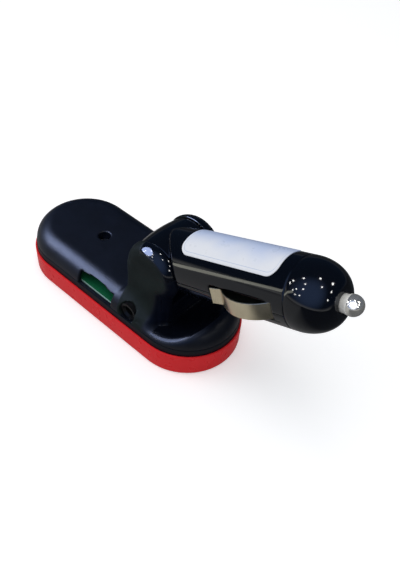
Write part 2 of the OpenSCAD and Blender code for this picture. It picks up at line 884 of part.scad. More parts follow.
// The label is a thin piece of a tube, cut to a rounded outline
module rating_label() {
    color("aliceblue") at_plug() intersection() {
        difference() {
            axle(barrel_r + label_t, label_s, label_s + label_l);
            axle(barrel_r, label_s - overrun, label_s + label_l + overrun);
        }
        translate([label_s + label_l / 2, 0, 0]) linear_extrude(2 * barrel_r) {
            square([label_l - 2 * label_corner, 2 * label_half_w], center = true);
            square([label_l, 2 * (label_half_w - label_corner)], center = true);
            for (sx = [-1, 1], sy = [-1, 1])
                translate([sx * (label_l / 2 - label_corner), sy * (label_half_w - label_corner)])
                    circle(r = label_corner);
        }
    }
}

module plug_board() {
    color("seagreen") at_plug()
        block([plug_board_s, -plug_board_w / 2, plug_board_z - plug_board_t],
            [plug_board_s + plug_board_l, plug_board_w / 2, plug_board_z]);
}

module plug_board_parts() {
    under = plug_board_z - plug_board_t;
    color("dimgray") at_plug() {
        block([coil_s - coil_w / 2, -coil_w / 2, under - coil_h],
            [coil_s + coil_w / 2, coil_w / 2, under]);
        block([chip_s - chip_l / 2, -chip_w / 2, under - chip_h],
            [chip_s + chip_l / 2, chip_w / 2, under]);
        translate([plug_board_s + smoothing_r + fit, 0, plug_board_z])
            cylinder(r = smoothing_r, h = smoothing_h);
    }
}

module fuse_holder() {
    back = spring_back - terminal_t;
    color("ivory") at_plug() difference() {
        union() {
            axle(holder_r, back - holder_wall, holder_end);
            for (s = [back - holder_wall, holder_end - holder_foot_l])
                block([s, -holder_foot_w / 2, plug_board_z],
                    [s + holder_foot_l, holder_foot_w / 2, -holder_bore_r]);
        }
        axle(holder_bore_r, back, holder_end + overrun);
    }
}

module spring_terminal() {
    color("goldenrod") at_plug() axle(terminal_r, spring_back - terminal_t, spring_back);
}

// The same two leads from the hinge's middle to the board in the plug
module plug_leads() {
    color("crimson") at_plug() for (side = [-0.5, 0.5]) {
        x = side * lead_pitch;
        y = side * lead_spread;
        tube([[x, lead_start, 0], [x, side * lead_pitch + 3 * lead_r, 0],
            [x + lead_r, side * lead_pitch + lead_r, 0], [x + 3 * lead_r, side * lead_pitch, 0],
            [lead_bend_s, 0.5 * y, 0], [cavity_s, 0.75 * y, 0], [lead_dip_s, 0.85 * y, -lead_dip],
            [lead_land_s, y, plug_board_z + lead_r]], lead_r, lead_sides, [0, 0, 1]);
    }
}

module tip_contact() {
    color("silver") at_plug() {
        axle(tip_flange_r, tip_flange_s, tip_flange_s + tip_flange_t);
        axle(shank_r, tip_flange_s, ball_s);
        translate([ball_s, 0, 0]) sphere(r = ball_r);
    }
}

module fuse_caps() {
    color("silver") at_plug() {
        difference() {
            axle(fuse_cap_r, fuse_back, fuse_back + fuse_cap_l);
            axle(fuse_glass_r, fuse_back + fuse_cap_l / 8, fuse_front);
        }
        difference() {
            axle(fuse_cap_r, fuse_front - fuse_cap_l, fuse_front);
            axle(fuse_glass_r, fuse_back, fuse_front - fuse_cap_l / 8);
        }
    }
}

module fuse_glass() {
    color("lightcyan") at_plug()
        axle(fuse_glass_r, fuse_back + fuse_cap_l / 8, fuse_front - fuse_cap_l / 8);
}

// The spring's centre line at a share of its length, from 0 to 1
function spring_point(share) = let (turn = 360 * spring_curls * share)
    [spring_back + spring_wire_r + share * (spring_l - 2 * spring_wire_r),
        spring_r * cos(turn), spring_r * sin(turn)];

module tip_spring() {
    count = spring_curls * spring_rings;
    path = [for (k = [0:count]) spring_point(k / count)];
    gap = min([for (k = [0:count - spring_rings])
        norm(path[k + spring_rings] - path[k])]) - 2 * spring_wire_r;
    echo(least_gap_between_curls = gap);
    color("silver") at_plug() tube(path, spring_wire_r, spring_sides, [1, 0, 0]);
}

// Side strap: an arc that bulges out, a tab at its free end and a foot with a bead at the other.
// The strap turns about the bead.
module clip_shape() {
    arc_r = clip_l * clip_l / (8 * clip_out) + clip_out / 2;
    middle = clip_s + clip_l / 2;
    centre_y = barrel_r + clip_out - arc_r;
    bend_s = clip_s - 0.5 * clip_t;
    bend_y = centre_y + sqrt(arc_r * arc_r - (middle - bend_s) * (middle - bend_s)) - clip_t;
    tab_rise = barrel_r + tab_out - clip_t - bend_y;
    lean = asin(tab_rise / tab_l);
    difference() {
        intersection() {
            translate([middle, centre_y]) circle(r = arc_r);
            translate([bend_s, centre_y]) square([foot_s + clip_t - bend_s, arc_r]);
        }
        translate([middle, centre_y]) circle(r = arc_r - clip_t);
    }
    translate([bend_s + clip_t / 2, bend_y]) rotate(180 - lean) translate([0, -clip_t])
        square([tab_l, clip_t]);
    translate([foot_s, foot_y - clip_t / 2]) square([foot_l, clip_t]);
    translate([foot_s, foot_y]) circle(r = foot_bead_r);
}

module ground_clip_far() {
    color("silver") at_plug() translate([0, 0, -clip_w / 2 - split_drop])
        linear_extrude(clip_w) clip_shape();
}

module ground_clip_near() {
    mirror([0, 1, 0]) ground_clip_far();
}

front_bezel();
front_panel();
display_lens();
lcd_module();
lcd_backlight();
main_board();
board_chips();
board_capacitors();
tact_switches();
card_socket();
line_in_jack();
rear_cover();
rear_screw();
hinge_pin_near();
hinge_pin_far();
hinge_washers();
base_leads();
button_play();
button_previous();
button_next();
button_channel_down();
button_channel_up();
barrel_upper();
barrel_lower();
nose_cap();
rating_label();
plug_board();
plug_board_parts();
fuse_holder();
spring_terminal();
plug_leads();
tip_contact();
fuse_caps();
fuse_glass();
tip_spring();
ground_clip_near();
ground_clip_far();
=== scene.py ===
"""Looks of a car FM transmitter: a flat housing that lies on its face, and a lighter plug on a hinge.

Sizes are in millimetres in the code and in metres in the meshes. +X runs along the housing
towards the hinge, +Y across it to the far side, and +Z up out of the housing's rear.
"""
import logging
import math
from collections.abc import Callable
from dataclasses import dataclass, field
from enum import Enum
from functools import partial

import bmesh
import bpy
import numpy as np
from mathutils import Matrix, Quaternion, Vector


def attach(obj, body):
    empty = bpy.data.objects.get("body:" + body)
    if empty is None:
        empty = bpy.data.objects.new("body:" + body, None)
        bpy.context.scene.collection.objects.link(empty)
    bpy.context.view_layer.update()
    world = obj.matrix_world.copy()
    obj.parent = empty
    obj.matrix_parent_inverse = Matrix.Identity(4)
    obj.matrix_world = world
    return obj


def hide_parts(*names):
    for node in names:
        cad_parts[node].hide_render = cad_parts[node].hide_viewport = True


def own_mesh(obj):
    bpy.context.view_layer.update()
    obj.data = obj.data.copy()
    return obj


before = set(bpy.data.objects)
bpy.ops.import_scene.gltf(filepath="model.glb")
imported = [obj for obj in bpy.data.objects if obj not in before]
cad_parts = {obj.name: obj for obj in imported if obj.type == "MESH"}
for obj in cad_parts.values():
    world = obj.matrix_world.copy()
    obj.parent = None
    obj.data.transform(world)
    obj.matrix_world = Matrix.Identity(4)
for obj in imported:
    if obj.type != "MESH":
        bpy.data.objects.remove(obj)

LOG = logging.getLogger("transmitter")
MM = 0.001
Array = np.ndarray
Field = Callable[[Array, Array, Array], Array]
Socket = bpy.types.NodeSocket

# surface_net: passes that settle the vertices, the slope's step and the longest shift as shares
# of the grid's step, and the least squared slope that a shift is divided by.
SETTLE_PASSES = 4
SLOPE_STEP = 0.05
SHIFT_LIMIT = 0.4
LEAST_SLOPE = 0.05
# Vertices nearer to each other than this, in metres, are merged.
MERGE_DISTANCE = 2e-6
# Points on each round end of the housing's rings, and sides of the turned pieces.
END_POINTS = 96
SMALL_SIDES = 96
LARGE_SIDES = 144
# Points on the nose's curve and the ball's; rows and columns of the label; points of a strap's parts.
NOSE_POINTS = 56
BALL_POINTS = 44
LABEL_END_ROWS = 8
LABEL_ROWS = 40
LABEL_COLUMNS = 41
TAB_POINTS = 14
BOW_POINTS = 90
FOOT_POINTS = 12
STRAP_SMOOTHING = 3


# ---- Surfaces from numpy ----

def smooth_min(a: Array, b: Array, reach: float | Array) -> Array:
    """Joins two distance fields with a fillet.

    The smaller value, less a quarter of reach times the square of how near the two are.

    Args:
        a: distances to the first solid.
        b: distances to the second solid.
        reach: how far the fillet spreads.

    Returns:
        Distances to the joined solid.
    """
    near = np.maximum(reach - np.abs(a - b), 0.0) / reach
    return np.minimum(a, b) - near * near * reach / 4


def smooth_max(a: Array, b: Array, reach: float | Array) -> Array:
    """Cuts one distance field by another and rounds the edge that is left; the mirror of smooth_min."""
    return -smooth_min(-a, -b, reach)


def box_field(x: Array, y: Array, z: Array, low: tuple, high: tuple) -> Array:
    """Distance to an upright box: the largest of the distances to its six sides."""
    return np.maximum.reduce([low[0] - x, x - high[0], low[1] - y, y - high[1], low[2] - z, z - high[2]])


def surface_net(solid: Field, low: tuple, high: tuple, step: float) -> tuple[Array, Array]:
    """Meshes the zero level of a distance field.

    Each grid cell that the surface crosses gets one vertex, at the mean of the crossings on
    its edges. Each grid edge that is crossed gets one face of the four cells round it. Then
    each vertex moves down the field's slope until it lies on the surface.

    Args:
        solid: the field, negative inside.
        low: lowest corner of the grid.
        high: highest corner of the grid.
        step: spacing of the grid.

    Returns:
        Vertices (n, 3) and faces (m, 4).
    """
    axes = [np.arange(a, b + step, step) for a, b in zip(low, high)]
    values = solid(*np.meshgrid(*axes, indexing="ij"))
    inside = values < 0
    cells = tuple(n - 1 for n in values.shape)
    total = int(np.prod(cells))
    sums, count = np.zeros((3, total)), np.zeros(total)
    rings = []
    for axis in range(3):
        one, two = (axis + 1) % 3, (axis + 2) % 3
        first = tuple(slice(0, -1) if k == axis else slice(None) for k in range(3))
        second = tuple(slice(1, None) if k == axis else slice(None) for k in range(3))
        at = np.argwhere(inside[first] != inside[second])
        before, after = values[first][tuple(at.T)], values[second][tuple(at.T)]
        point = at.astype(float)
        point[:, axis] += before / (before - after)
        ring = []
        for turn_one, turn_two in ((0, 0), (-1, 0), (-1, -1), (0, -1)):
            cell = at.copy()
            cell[:, one] += turn_one
            cell[:, two] += turn_two
            flat = np.ravel_multi_index(cell.T, cells)
            ring.append(flat)
            count += np.bincount(flat, minlength=total)
            for k in range(3):
                sums[k] += np.bincount(flat, weights=point[:, k], minlength=total)
        ring = np.stack(ring, axis=1)
        rings.append(np.where((before < 0)[:, None], ring, ring[:, ::-1]))
    used = count > 0
    index = np.cumsum(used) - 1
    points = (sums[:, used] / count[used]).T * step + np.array(low)
    for _ in range(SETTLE_PASSES):
        value = solid(*points.T)
        slope = np.stack([(solid(*(points + d).T) - solid(*(points - d).T)) / (2 * SLOPE_STEP * step)
                          for d in np.eye(3) * SLOPE_STEP * step], axis=1)
        length = np.maximum(np.sum(slope * slope, axis=1), LEAST_SLOPE)
        points -= slope * np.clip(value / length, -SHIFT_LIMIT * step, SHIFT_LIMIT * step)[:, None]
    return points, index[np.concatenate(rings)]


def grid_faces(rows: int, columns: int, ring_rows: bool, ring_columns: bool) -> Array:
    """Faces of a grid of vertices kept row by row.

    Args:
        rows: number of rows.
        columns: number of vertices in a row.
        ring_rows: whether the last row joins the first.
        ring_columns: whether each row's end joins its start.

    Returns:
        Faces (m, 4), counter-clockwise as rows and columns rise.
    """
    r, c = np.meshgrid(np.arange(rows if ring_rows else rows - 1),
                       np.arange(columns if ring_columns else columns - 1), indexing="ij")
    r, c = r.ravel(), c.ravel()
    r2, c2 = (r + 1) % rows, (c + 1) % columns
    return np.stack([r * columns + c, r2 * columns + c, r2 * columns + c2, r * columns + c2], axis=1)


def lathe(profile: Array, sides: int) -> tuple[Array, Array]:
    """Carries a closed profile round the X axis: each (along, radius) becomes a ring of that radius.

    Args:
        profile: points (n, 2), closed, with the solid on the left as it is walked.
        sides: faces round the axis.

    Returns:
        Vertices and faces. A profile that touches the axis has its rings merged later.
    """
    turn = np.linspace(0, 2 * np.pi, sides, endpoint=False)
    along = np.repeat(profile[:, :1], sides, axis=1)
    y = profile[:, 1:] * np.cos(turn)
    z = profile[:, 1:] * np.sin(turn)
    return np.stack([along, y, z], axis=2).reshape(-1, 3), grid_faces(len(profile), sides, True, True)


def arc(centre: tuple, radius: float, start: float, end: float, count: int) -> Array:
    """Points of an arc: the centre plus the radius times the cosine and sine of each angle, in degrees."""
    turn = np.radians(np.linspace(start, end, count))
    return np.stack([centre[0] + radius * np.cos(turn), centre[1] + radius * np.sin(turn)], axis=1)


def round_ring(profile: Array, reach: float) -> tuple[Array, Array]:
    """Carries a closed profile of (distance out, height) round a path with round ends.

    Each point of a ring is the centre of its end plus its distance out times the outward
    direction, which turns through half a circle at each end.

    Args:
        profile: points (n, 2), closed.
        reach: half the distance between the centres of the two ends.

    Returns:
        Vertices and faces.
    """
    half = np.radians(np.linspace(-90, 90, END_POINTS))
    turn = np.concatenate([half, half + np.pi])
    ends = np.repeat([reach, -reach], END_POINTS)
    x = ends + profile[:, :1] * np.cos(turn)
    y = profile[:, :1] * np.sin(turn)
    z = np.repeat(profile[:, 1:], len(turn), axis=1)
    return np.stack([x, y, z], axis=2).reshape(-1, 3), grid_faces(len(profile), len(turn), True, True)


def strip_along(path: Array, section: Array, side: tuple) -> tuple[Array, Array]:
    """Carries a closed section along an open path and closes its two ends.

    At each point the section's first number goes along the path's normal and its second
    along the fixed side direction.

    Args:
        path: points (n, 3).
        section: points (m, 2), counter-clockwise.
        side: unit vector that the section's second number follows.

    Returns:
        Vertices and faces, with a fan of triangles at each end.
    """
    ahead = np.gradient(path, axis=0)
    ahead /= np.linalg.norm(ahead, axis=1, keepdims=True)
    across = np.cross(np.array(side, float), ahead)
    across /= np.linalg.norm(across, axis=1, keepdims=True)
    up = np.cross(ahead, across)
    points = path[:, None] + section[None, :, :1] * across[:, None] + section[None, :, 1:] * up[:, None]
    n, m = len(path), len(section)
    here = np.arange(m)
    following = (here + 1) % m
    last_row = (n - 1) * m
    first = np.stack([np.full(m, n * m), here, following, following], axis=1)
    last = np.stack([np.full(m, n * m + 1), last_row + following, last_row + here, last_row + here], axis=1)
    return (np.concatenate([points.reshape(-1, 3), path[[0, -1]]]),
            np.concatenate([grid_faces(n, m, False, True), first, last]))


def round_section(half_t: float, half_w: float, corner: float, count: int = 5) -> Array:
    """A rectangle's outline with rounded corners, counter-clockwise, as (thickness, width) points."""
    spots = ((1, 1, 0), (-1, 1, 90), (-1, -1, 180), (1, -1, 270))
    return np.concatenate([arc((sx * (half_t - corner), sy * (half_w - corner)), corner, a, a + 90, count)
                           for sx, sy, a in spots])


def read_points(mesh: bpy.types.Mesh) -> Array:
    """Reads where a mesh's vertices are.

    Args:
        mesh: the mesh.

    Returns:
        Vertices (n, 3), in metres.
    """
    flat = np.empty(len(mesh.vertices) * 3)
    mesh.vertices.foreach_get("co", flat)
    return flat.reshape(-1, 3)


def write_attribute(mesh: bpy.types.Mesh, name: str, values: Array) -> None:
    """Gives each vertex a number under this attribute's name."""
    mesh.attributes.new(name, "FLOAT", "POINT").data.foreach_set("value", values.astype(np.float32))


def tidy_mesh(mesh: bpy.types.Mesh) -> None:
    """Merges doubled vertices, such as those at a pole, and turns every face outwards.

    Args:
        mesh: the closed mesh, which is also set to smooth shading.
    """
    work = bmesh.new()
    work.from_mesh(mesh)
    bmesh.ops.remove_doubles(work, verts=work.verts, dist=MERGE_DISTANCE)
    bmesh.ops.recalc_face_normals(work, faces=work.faces)
    if work.calc_volume(signed=True) < 0:
        bmesh.ops.reverse_faces(work, faces=work.faces)
    work.to_mesh(mesh)
    work.free()
    mesh.polygons.foreach_set("use_smooth", np.ones(len(mesh.polygons), bool))
    mesh.update()


def make_piece(name: str, shape: tuple[Array, Array], place: Matrix | None = None,
               crease: float | None = None) -> bpy.types.Object:
    """Puts numpy vertices and faces into a mesh object at the origin.

    Args:
        name: the piece's name.
        shape: vertices in millimetres, and faces; a quad whose last two corners are one
            vertex becomes a triangle.
        place: turns and moves the vertices, in millimetres.
        crease: edges sharper than this many degrees are shaded as sharp.

    Returns:
        The new object, shaded smooth, with outward normals.
    """
    points, faces = shape
    if place is not None:
        turn = np.array(place)
        points = points @ turn[:3, :3].T + turn[:3, 3]
    mesh = bpy.data.meshes.new(name)
    lists = [list(dict.fromkeys(face)) for face in faces.tolist()]
    mesh.from_pydata((points * MM).tolist(), [], [f for f in lists if len(f) > 2])
    mesh.validate()
    obj = bpy.data.objects.new(name, mesh)
    bpy.context.scene.collection.objects.link(obj)
    tidy_mesh(mesh)
    if crease is not None:
        mesh.set_sharp_from_angle(angle=math.radians(crease))
    return obj


# ---- Finishes ----

class Sheet:
    """The node sheet of a material or of the sky, with short calls for adding nodes and joining them."""

    def __init__(self, owner: bpy.types.Material | bpy.types.World) -> None:
        """Turns the owner's nodes on and empties its sheet.

        Args:
            owner: the material or world that the sheet belongs to.
        """
        owner.use_nodes = True
        self.owner, self.tree = owner, owner.node_tree
        self.tree.nodes.clear()

    @classmethod
    def named(cls, name: str) -> "Sheet":
        """The empty sheet of a new material."""
        return cls(bpy.data.materials.new(name))

    def node(self, kind: str, setup: dict | None = None, **sockets: object) -> bpy.types.Node:
        """Adds a node.

        Args:
            kind: the node's type without its ShaderNode prefix.
            setup: properties of the node.
            sockets: values or output sockets by input name, with _ for a space, or by i and the
                input's number.

        Returns:
            The node.
        """
        made = self.tree.nodes.new("ShaderNode" + kind)
        for key, value in (setup or {}).items():
            setattr(made, key, value)
        for key, value in sockets.items():
            numbered = key[0] == "i" and key[1:].isdigit()
            socket = made.inputs[int(key[1:]) if numbered else key.replace("_", " ")]
            if isinstance(value, Socket):
                self.tree.links.new(value, socket)
            else:
                socket.default_value = value
        return made

    def calc(self, operation: str, one: object, two: object = 0.0, three: object = 0.0) -> Socket:
        """Works out one number from up to three, by the name of a Math node's operation."""
        return self.node("Math", {"operation": operation}, i0=one, i1=two, i2=three).outputs[0]

    def place(self, axis: str) -> Socket:
        """One of the object's own coordinates, X, Y or Z, in metres."""
        return self.split(self.node("TexCoord").outputs["Object"], axis)

    def split(self, vector: Socket, axis: str) -> Socket:
        """One number, X, Y or Z, of a vector."""
        return self.node("SeparateXYZ", Vector=vector).outputs[axis]

    def value_of(self, attribute: str) -> Socket:
        """The number that the piece's attribute holds."""
        return self.node("Attribute", {"attribute_name": attribute}).outputs["Fac"]

    def noise(self, size_mm: float, detail: float = 2.0, stretch: tuple = (1, 1, 1)) -> Socket:
        """Noise on the object's own coordinates.

        Args:
            size_mm: about how wide its features are.
            detail: how many finer layers it has.
            stretch: how much denser it runs along each axis.

        Returns:
            A share round the middle of 0 to 1.
        """
        where = self.node("TexCoord").outputs["Object"]
        spread = self.node("Mapping", Vector=where, Scale=stretch).outputs["Vector"]
        return self.node("TexNoise", Vector=spread, Scale=1 / (size_mm * MM), Detail=detail).outputs["Fac"]

    def between(self, share: Socket, low: object, high: object, start: float = 0.3,
                end: float = 0.7) -> Socket:
        """Maps a share that runs from start to end onto low to high."""
        return self.node("MapRange", Value=share, From_Min=start, From_Max=end,
                         To_Min=low, To_Max=high).outputs["Result"]

    def mix_value(self, share: Socket, one: object, two: object) -> Socket:
        """Mixes two numbers by a share."""
        return self.between(share, one, two, 0.0, 1.0)

    def ease(self, value: Socket, start: float, end: float, high: float = 1.0) -> Socket:
        """A share that eases from 0 to high as a value runs from start to end."""
        return self.node("MapRange", {"interpolation_type": "SMOOTHSTEP"}, Value=value, From_Min=start,
                         From_Max=end, To_Min=0.0, To_Max=high).outputs["Result"]

    def attribute_step(self, name: str, soft_mm: float) -> Socket:
        """A share that goes from 0 to 1 as an attribute in millimetres passes zero."""
        return self.ease(self.value_of(name), -soft_mm, soft_mm)

    def blend(self, share: Socket, one: object, two: object) -> Socket:
        """Mixes two colours by a share.

        Args:
            share: 0 for the first colour and 1 for the second.
            one: a colour of three numbers, or a socket.
            two: a colour of three numbers, or a socket.

        Returns:
            The mixed colour.
        """
        mix = self.node("Mix", {"data_type": "RGBA"}, i0=share)
        for socket, colour in ((mix.inputs[6], one), (mix.inputs[7], two)):
            if isinstance(colour, Socket):
                self.tree.links.new(colour, socket)
            else:
                socket.default_value = (*colour, 1.0)
        return mix.outputs[2]

    def bump(self, height: Socket, depth_mm: float, before: Socket | None = None) -> Socket:
        """A bump of a real depth.

        Args:
            height: the share of the depth at each point.
            depth_mm: the depth.
            before: an earlier bump that this one lies on.

        Returns:
            The bumped normal.
        """
        made = self.node("Bump", Height=height, Distance=depth_mm * MM, Strength=1.0)
        if before is not None:
            self.tree.links.new(before, made.inputs["Normal"])
        return made.outputs["Normal"]

    def finish(self, **sockets: object) -> bpy.types.Material:
        """Adds the surface shader and the output.

        Args:
            sockets: the shader's inputs, as in node.

        Returns:
            The material.
        """
        shader = self.node("BsdfPrincipled", **sockets)
        self.node("OutputMaterial", Surface=shader.outputs[0])
        return self.owner


@dataclass(frozen=True)
class MouldedPlastic:
    """Injection-moulded plastic: fine mould grain, faint flow marks and a little handling dust."""

    name: str
    colour: tuple
    pale: tuple
    rough: float
    rough_spread: float
    grain_mm: float
    grain_depth: float
    wave_depth: float = 0.0
    specular: float = 0.5
    coat: float = 0.0
    coat_rough: float = 0.06
    cloud_mm: float = 9.0
    wear_mm: float = 2.2
    wave_mm: float = 14.0

    def material(self) -> bpy.types.Material:
        """Builds the node material.

        Returns:
            The finished material.
        """
        sheet = Sheet.named(self.name)
        clouds = sheet.between(sheet.noise(self.cloud_mm, detail=3.0), 0.0, 1.0)
        rough = sheet.between(sheet.noise(self.wear_mm, detail=4.0), self.rough - self.rough_spread,
                              self.rough + self.rough_spread)
        normal = sheet.bump(sheet.noise(self.grain_mm, detail=1.0), self.grain_depth)
        if self.wave_depth:
            normal = sheet.bump(sheet.noise(self.wave_mm, detail=0.0), self.wave_depth, normal)
        return sheet.finish(Base_Color=sheet.blend(clouds, self.colour, self.pale), Roughness=rough,
                            Normal=normal, Specular_IOR_Level=self.specular, Coat_Weight=self.coat,
                            Coat_Roughness=self.coat_rough)


@dataclass(frozen=True)
class PlatedMetal:
    """Plated metal with fine drawing lines and faint tarnish clouds."""

    name: str
    colour: tuple
    tarnish: tuple
    rough: float
    line_stretch: tuple = (1, 1, 1)
    line_depth: float = 0.0015
    metal_share: float = 1.0
    cloud_mm: float = 2.5
    line_mm: float = 0.12
    rough_range: tuple = (0.7, 1.4)

    def material(self) -> bpy.types.Material:
        """Builds the node material.

        Returns:
            The finished material.
        """
        sheet = Sheet.named(self.name)
        clouds = sheet.between(sheet.noise(self.cloud_mm, detail=4.0), 0.0, 1.0)
        lines = sheet.noise(self.line_mm, detail=3.0, stretch=self.line_stretch)
        rough = sheet.between(lines, *(self.rough * part for part in self.rough_range))
        return sheet.finish(Base_Color=sheet.blend(clouds, self.colour, self.tarnish),
                            Metallic=self.metal_share, Roughness=rough,
                            Normal=sheet.bump(lines, self.line_depth))


@dataclass(frozen=True)
class BoardMask:
    """A circuit board: green mask over faint copper tracks, and a pale bare edge."""

    name: str
    colour: tuple
    track: tuple
    edge: tuple
    tracks_per_m: float = 260.0
    track_share: float = 0.028
    fibre_mm: float = 0.2
    fibre_depth: float = 0.004

    def material(self) -> bpy.types.Material:
        """Builds the node material. A face that stands upright is the bare edge.

        Returns:
            The finished material.
        """
        sheet = Sheet.named(self.name)
        where = sheet.node("TexCoord").outputs["Object"]
        tracks = sheet.node("TexBrick", {"offset": 0.37, "squash": 0.7}, Vector=where,
                            Scale=self.tracks_per_m, Mortar_Size=self.track_share).outputs["Fac"]
        flat = sheet.calc("ABSOLUTE", sheet.split(sheet.node("NewGeometry").outputs["Normal"], "Z"))
        side = sheet.calc("LESS_THAN", flat, 0.5)
        mask = sheet.blend(tracks, self.colour, self.track)
        fibre = sheet.bump(sheet.noise(self.fibre_mm), self.fibre_depth)
        return sheet.finish(Base_Color=sheet.blend(side, mask, self.edge),
                            Roughness=sheet.between(sheet.noise(3.0), 0.3, 0.45), Normal=fibre)


@dataclass(frozen=True)
class LabelFilm:
    """A laminated film, white at its near edge with a painted reflection of the blue sky across it, blank but
    for a fine rule.

    The piece's attribute edge is the distance in from its outline, in millimetres.
    """

    name: str
    colour: tuple
    # The blue that the film turns to across the barrel is a painted reflection of the sky.
    painted_sky_reflection: tuple
    rule: tuple
    reflection_from: float = -6.0
    reflection_to: float = 4.5
    reflection_share: float = 0.85
    cloud_mm: float = 9.0
    uneven_mm: float = 1.5
    rule_in: float = 0.75
    rule_half: float = 0.06
    grain_mm: float = 0.3
    grain_depth: float = 0.0006

    def material(self) -> bpy.types.Material:
        """Builds the node material.

        Returns:
            The finished material.
        """
        sheet = Sheet.named(self.name)
        clouds, uneven = sheet.noise(self.cloud_mm, detail=1.0), self.uneven_mm * MM
        # Painted reflection: the colour runs from white at the near edge towards the sky's blue across the
        # film.
        across = sheet.calc("ADD", sheet.place("Y"), sheet.between(clouds, -uneven, uneven))
        with_painted_reflection = sheet.blend(sheet.ease(across, self.reflection_from * MM, self.reflection_to * MM, self.reflection_share),
                             self.colour, self.painted_sky_reflection)
        line = sheet.calc("COMPARE", sheet.value_of("edge"), self.rule_in, self.rule_half)
        normal = sheet.bump(sheet.noise(self.grain_mm), self.grain_depth)
        return sheet.finish(Base_Color=sheet.blend(line, with_painted_reflection, self.rule),
                            Roughness=sheet.between(sheet.noise(3.0), 0.26, 0.36),
                            Normal=normal, Coat_Weight=0.3, Coat_Roughness=0.14)


@dataclass(frozen=True)
class ClearPiece:
    """Clear or smoked glass or plastic, with faint wipe marks in its gloss."""

    name: str
    colour: tuple
    rough: float
    clear: float = 0.92
    shade: float = 0.92
    index: float = 1.49

    def material(self) -> bpy.types.Material:
        """Builds the node material.

        Returns:
            The finished material.
        """
        sheet = Sheet.named(self.name)
        colour = sheet.blend(sheet.between(sheet.noise(8.0), 0.0, 1.0), self.colour,
                             tuple(self.shade * c for c in self.colour))
        rough = sheet.between(sheet.noise(4.0, detail=3.0), self.rough * 0.5, self.rough * 1.5)
        return sheet.finish(Base_Color=colour, Transmission_Weight=self.clear, Roughness=rough,
                            IOR=self.index, Normal=sheet.bump(sheet.noise(5.0), 0.003))


@dataclass(frozen=True)
class CoverSkin:
    """The rear cover's plastic: fine spark grain on the dome, a duller cheek face, and polish.

    The piece carries three attributes in millimetres: polish, above zero where the mould was
    polished, face, above zero on the cheeks' flat faces, and dish, above zero in the hollow
    under the plug, whose polish is softer, and on the cheeks' flanks towards it, whose weak,
    dull reflection is painted shade.
    """

    name: str
    dome: tuple
    face: tuple
    gloss: tuple
    rough: float
    face_rough: float
    gloss_rough: float
    dish_rough: float = 0.22
    dome_level: float = 0.28
    face_level: float = 0.06
    # The flanks' weak reflection is painted shade, where the cheeks turn from the light.
    flank_painted_shade_level: float = 0.03
    gloss_level: float = 0.55
    dish_level: float = 0.16
    speck: float = 0.035
    grain_mm: float = 0.16
    grain_depth: float = 0.007
    polish_grain: float = 0.06

    def material(self) -> bpy.types.Material:
        """Builds the node material.

        Returns:
            The finished material.
        """
        sheet = Sheet.named(self.name)
        polish = sheet.attribute_step("polish", soft_mm=0.12)
        face = sheet.attribute_step("face", soft_mm=0.2)
        dish = sheet.attribute_step("dish", soft_mm=0.3)
        colour = sheet.blend(polish, sheet.blend(face, self.dome, self.face), self.gloss)
        clouds = sheet.between(sheet.noise(9.0, detail=3.0), 0.75, 1.3)
        shade = sheet.node("VectorMath", {"operation": "SCALE"}, Vector=colour, Scale=clouds).outputs[0]
        dull = sheet.mix_value(dish, sheet.mix_value(face, self.rough, self.face_rough), self.face_rough)
        shine = sheet.mix_value(dish, self.gloss_rough, self.dish_rough)
        speck = sheet.between(sheet.noise(1.6, detail=4.0), -self.speck, self.speck)
        rough = sheet.calc("ADD", sheet.mix_value(polish, dull, shine), speck)
        depth = sheet.between(polish, 1.0, self.polish_grain, start=0.0, end=0.3)
        grain = sheet.calc("MULTIPLY", sheet.noise(self.grain_mm, detail=1.0), depth)
        # On the flanks the low reflection level is painted shade.
        plain = sheet.mix_value(dish, sheet.mix_value(face, self.dome_level, self.face_level),
                                self.flank_painted_shade_level)
        level = sheet.mix_value(polish, plain, sheet.mix_value(dish, self.gloss_level, self.dish_level))
        return sheet.finish(Base_Color=shade, Roughness=rough, Normal=sheet.bump(grain, self.grain_depth),
                            Specular_IOR_Level=level)


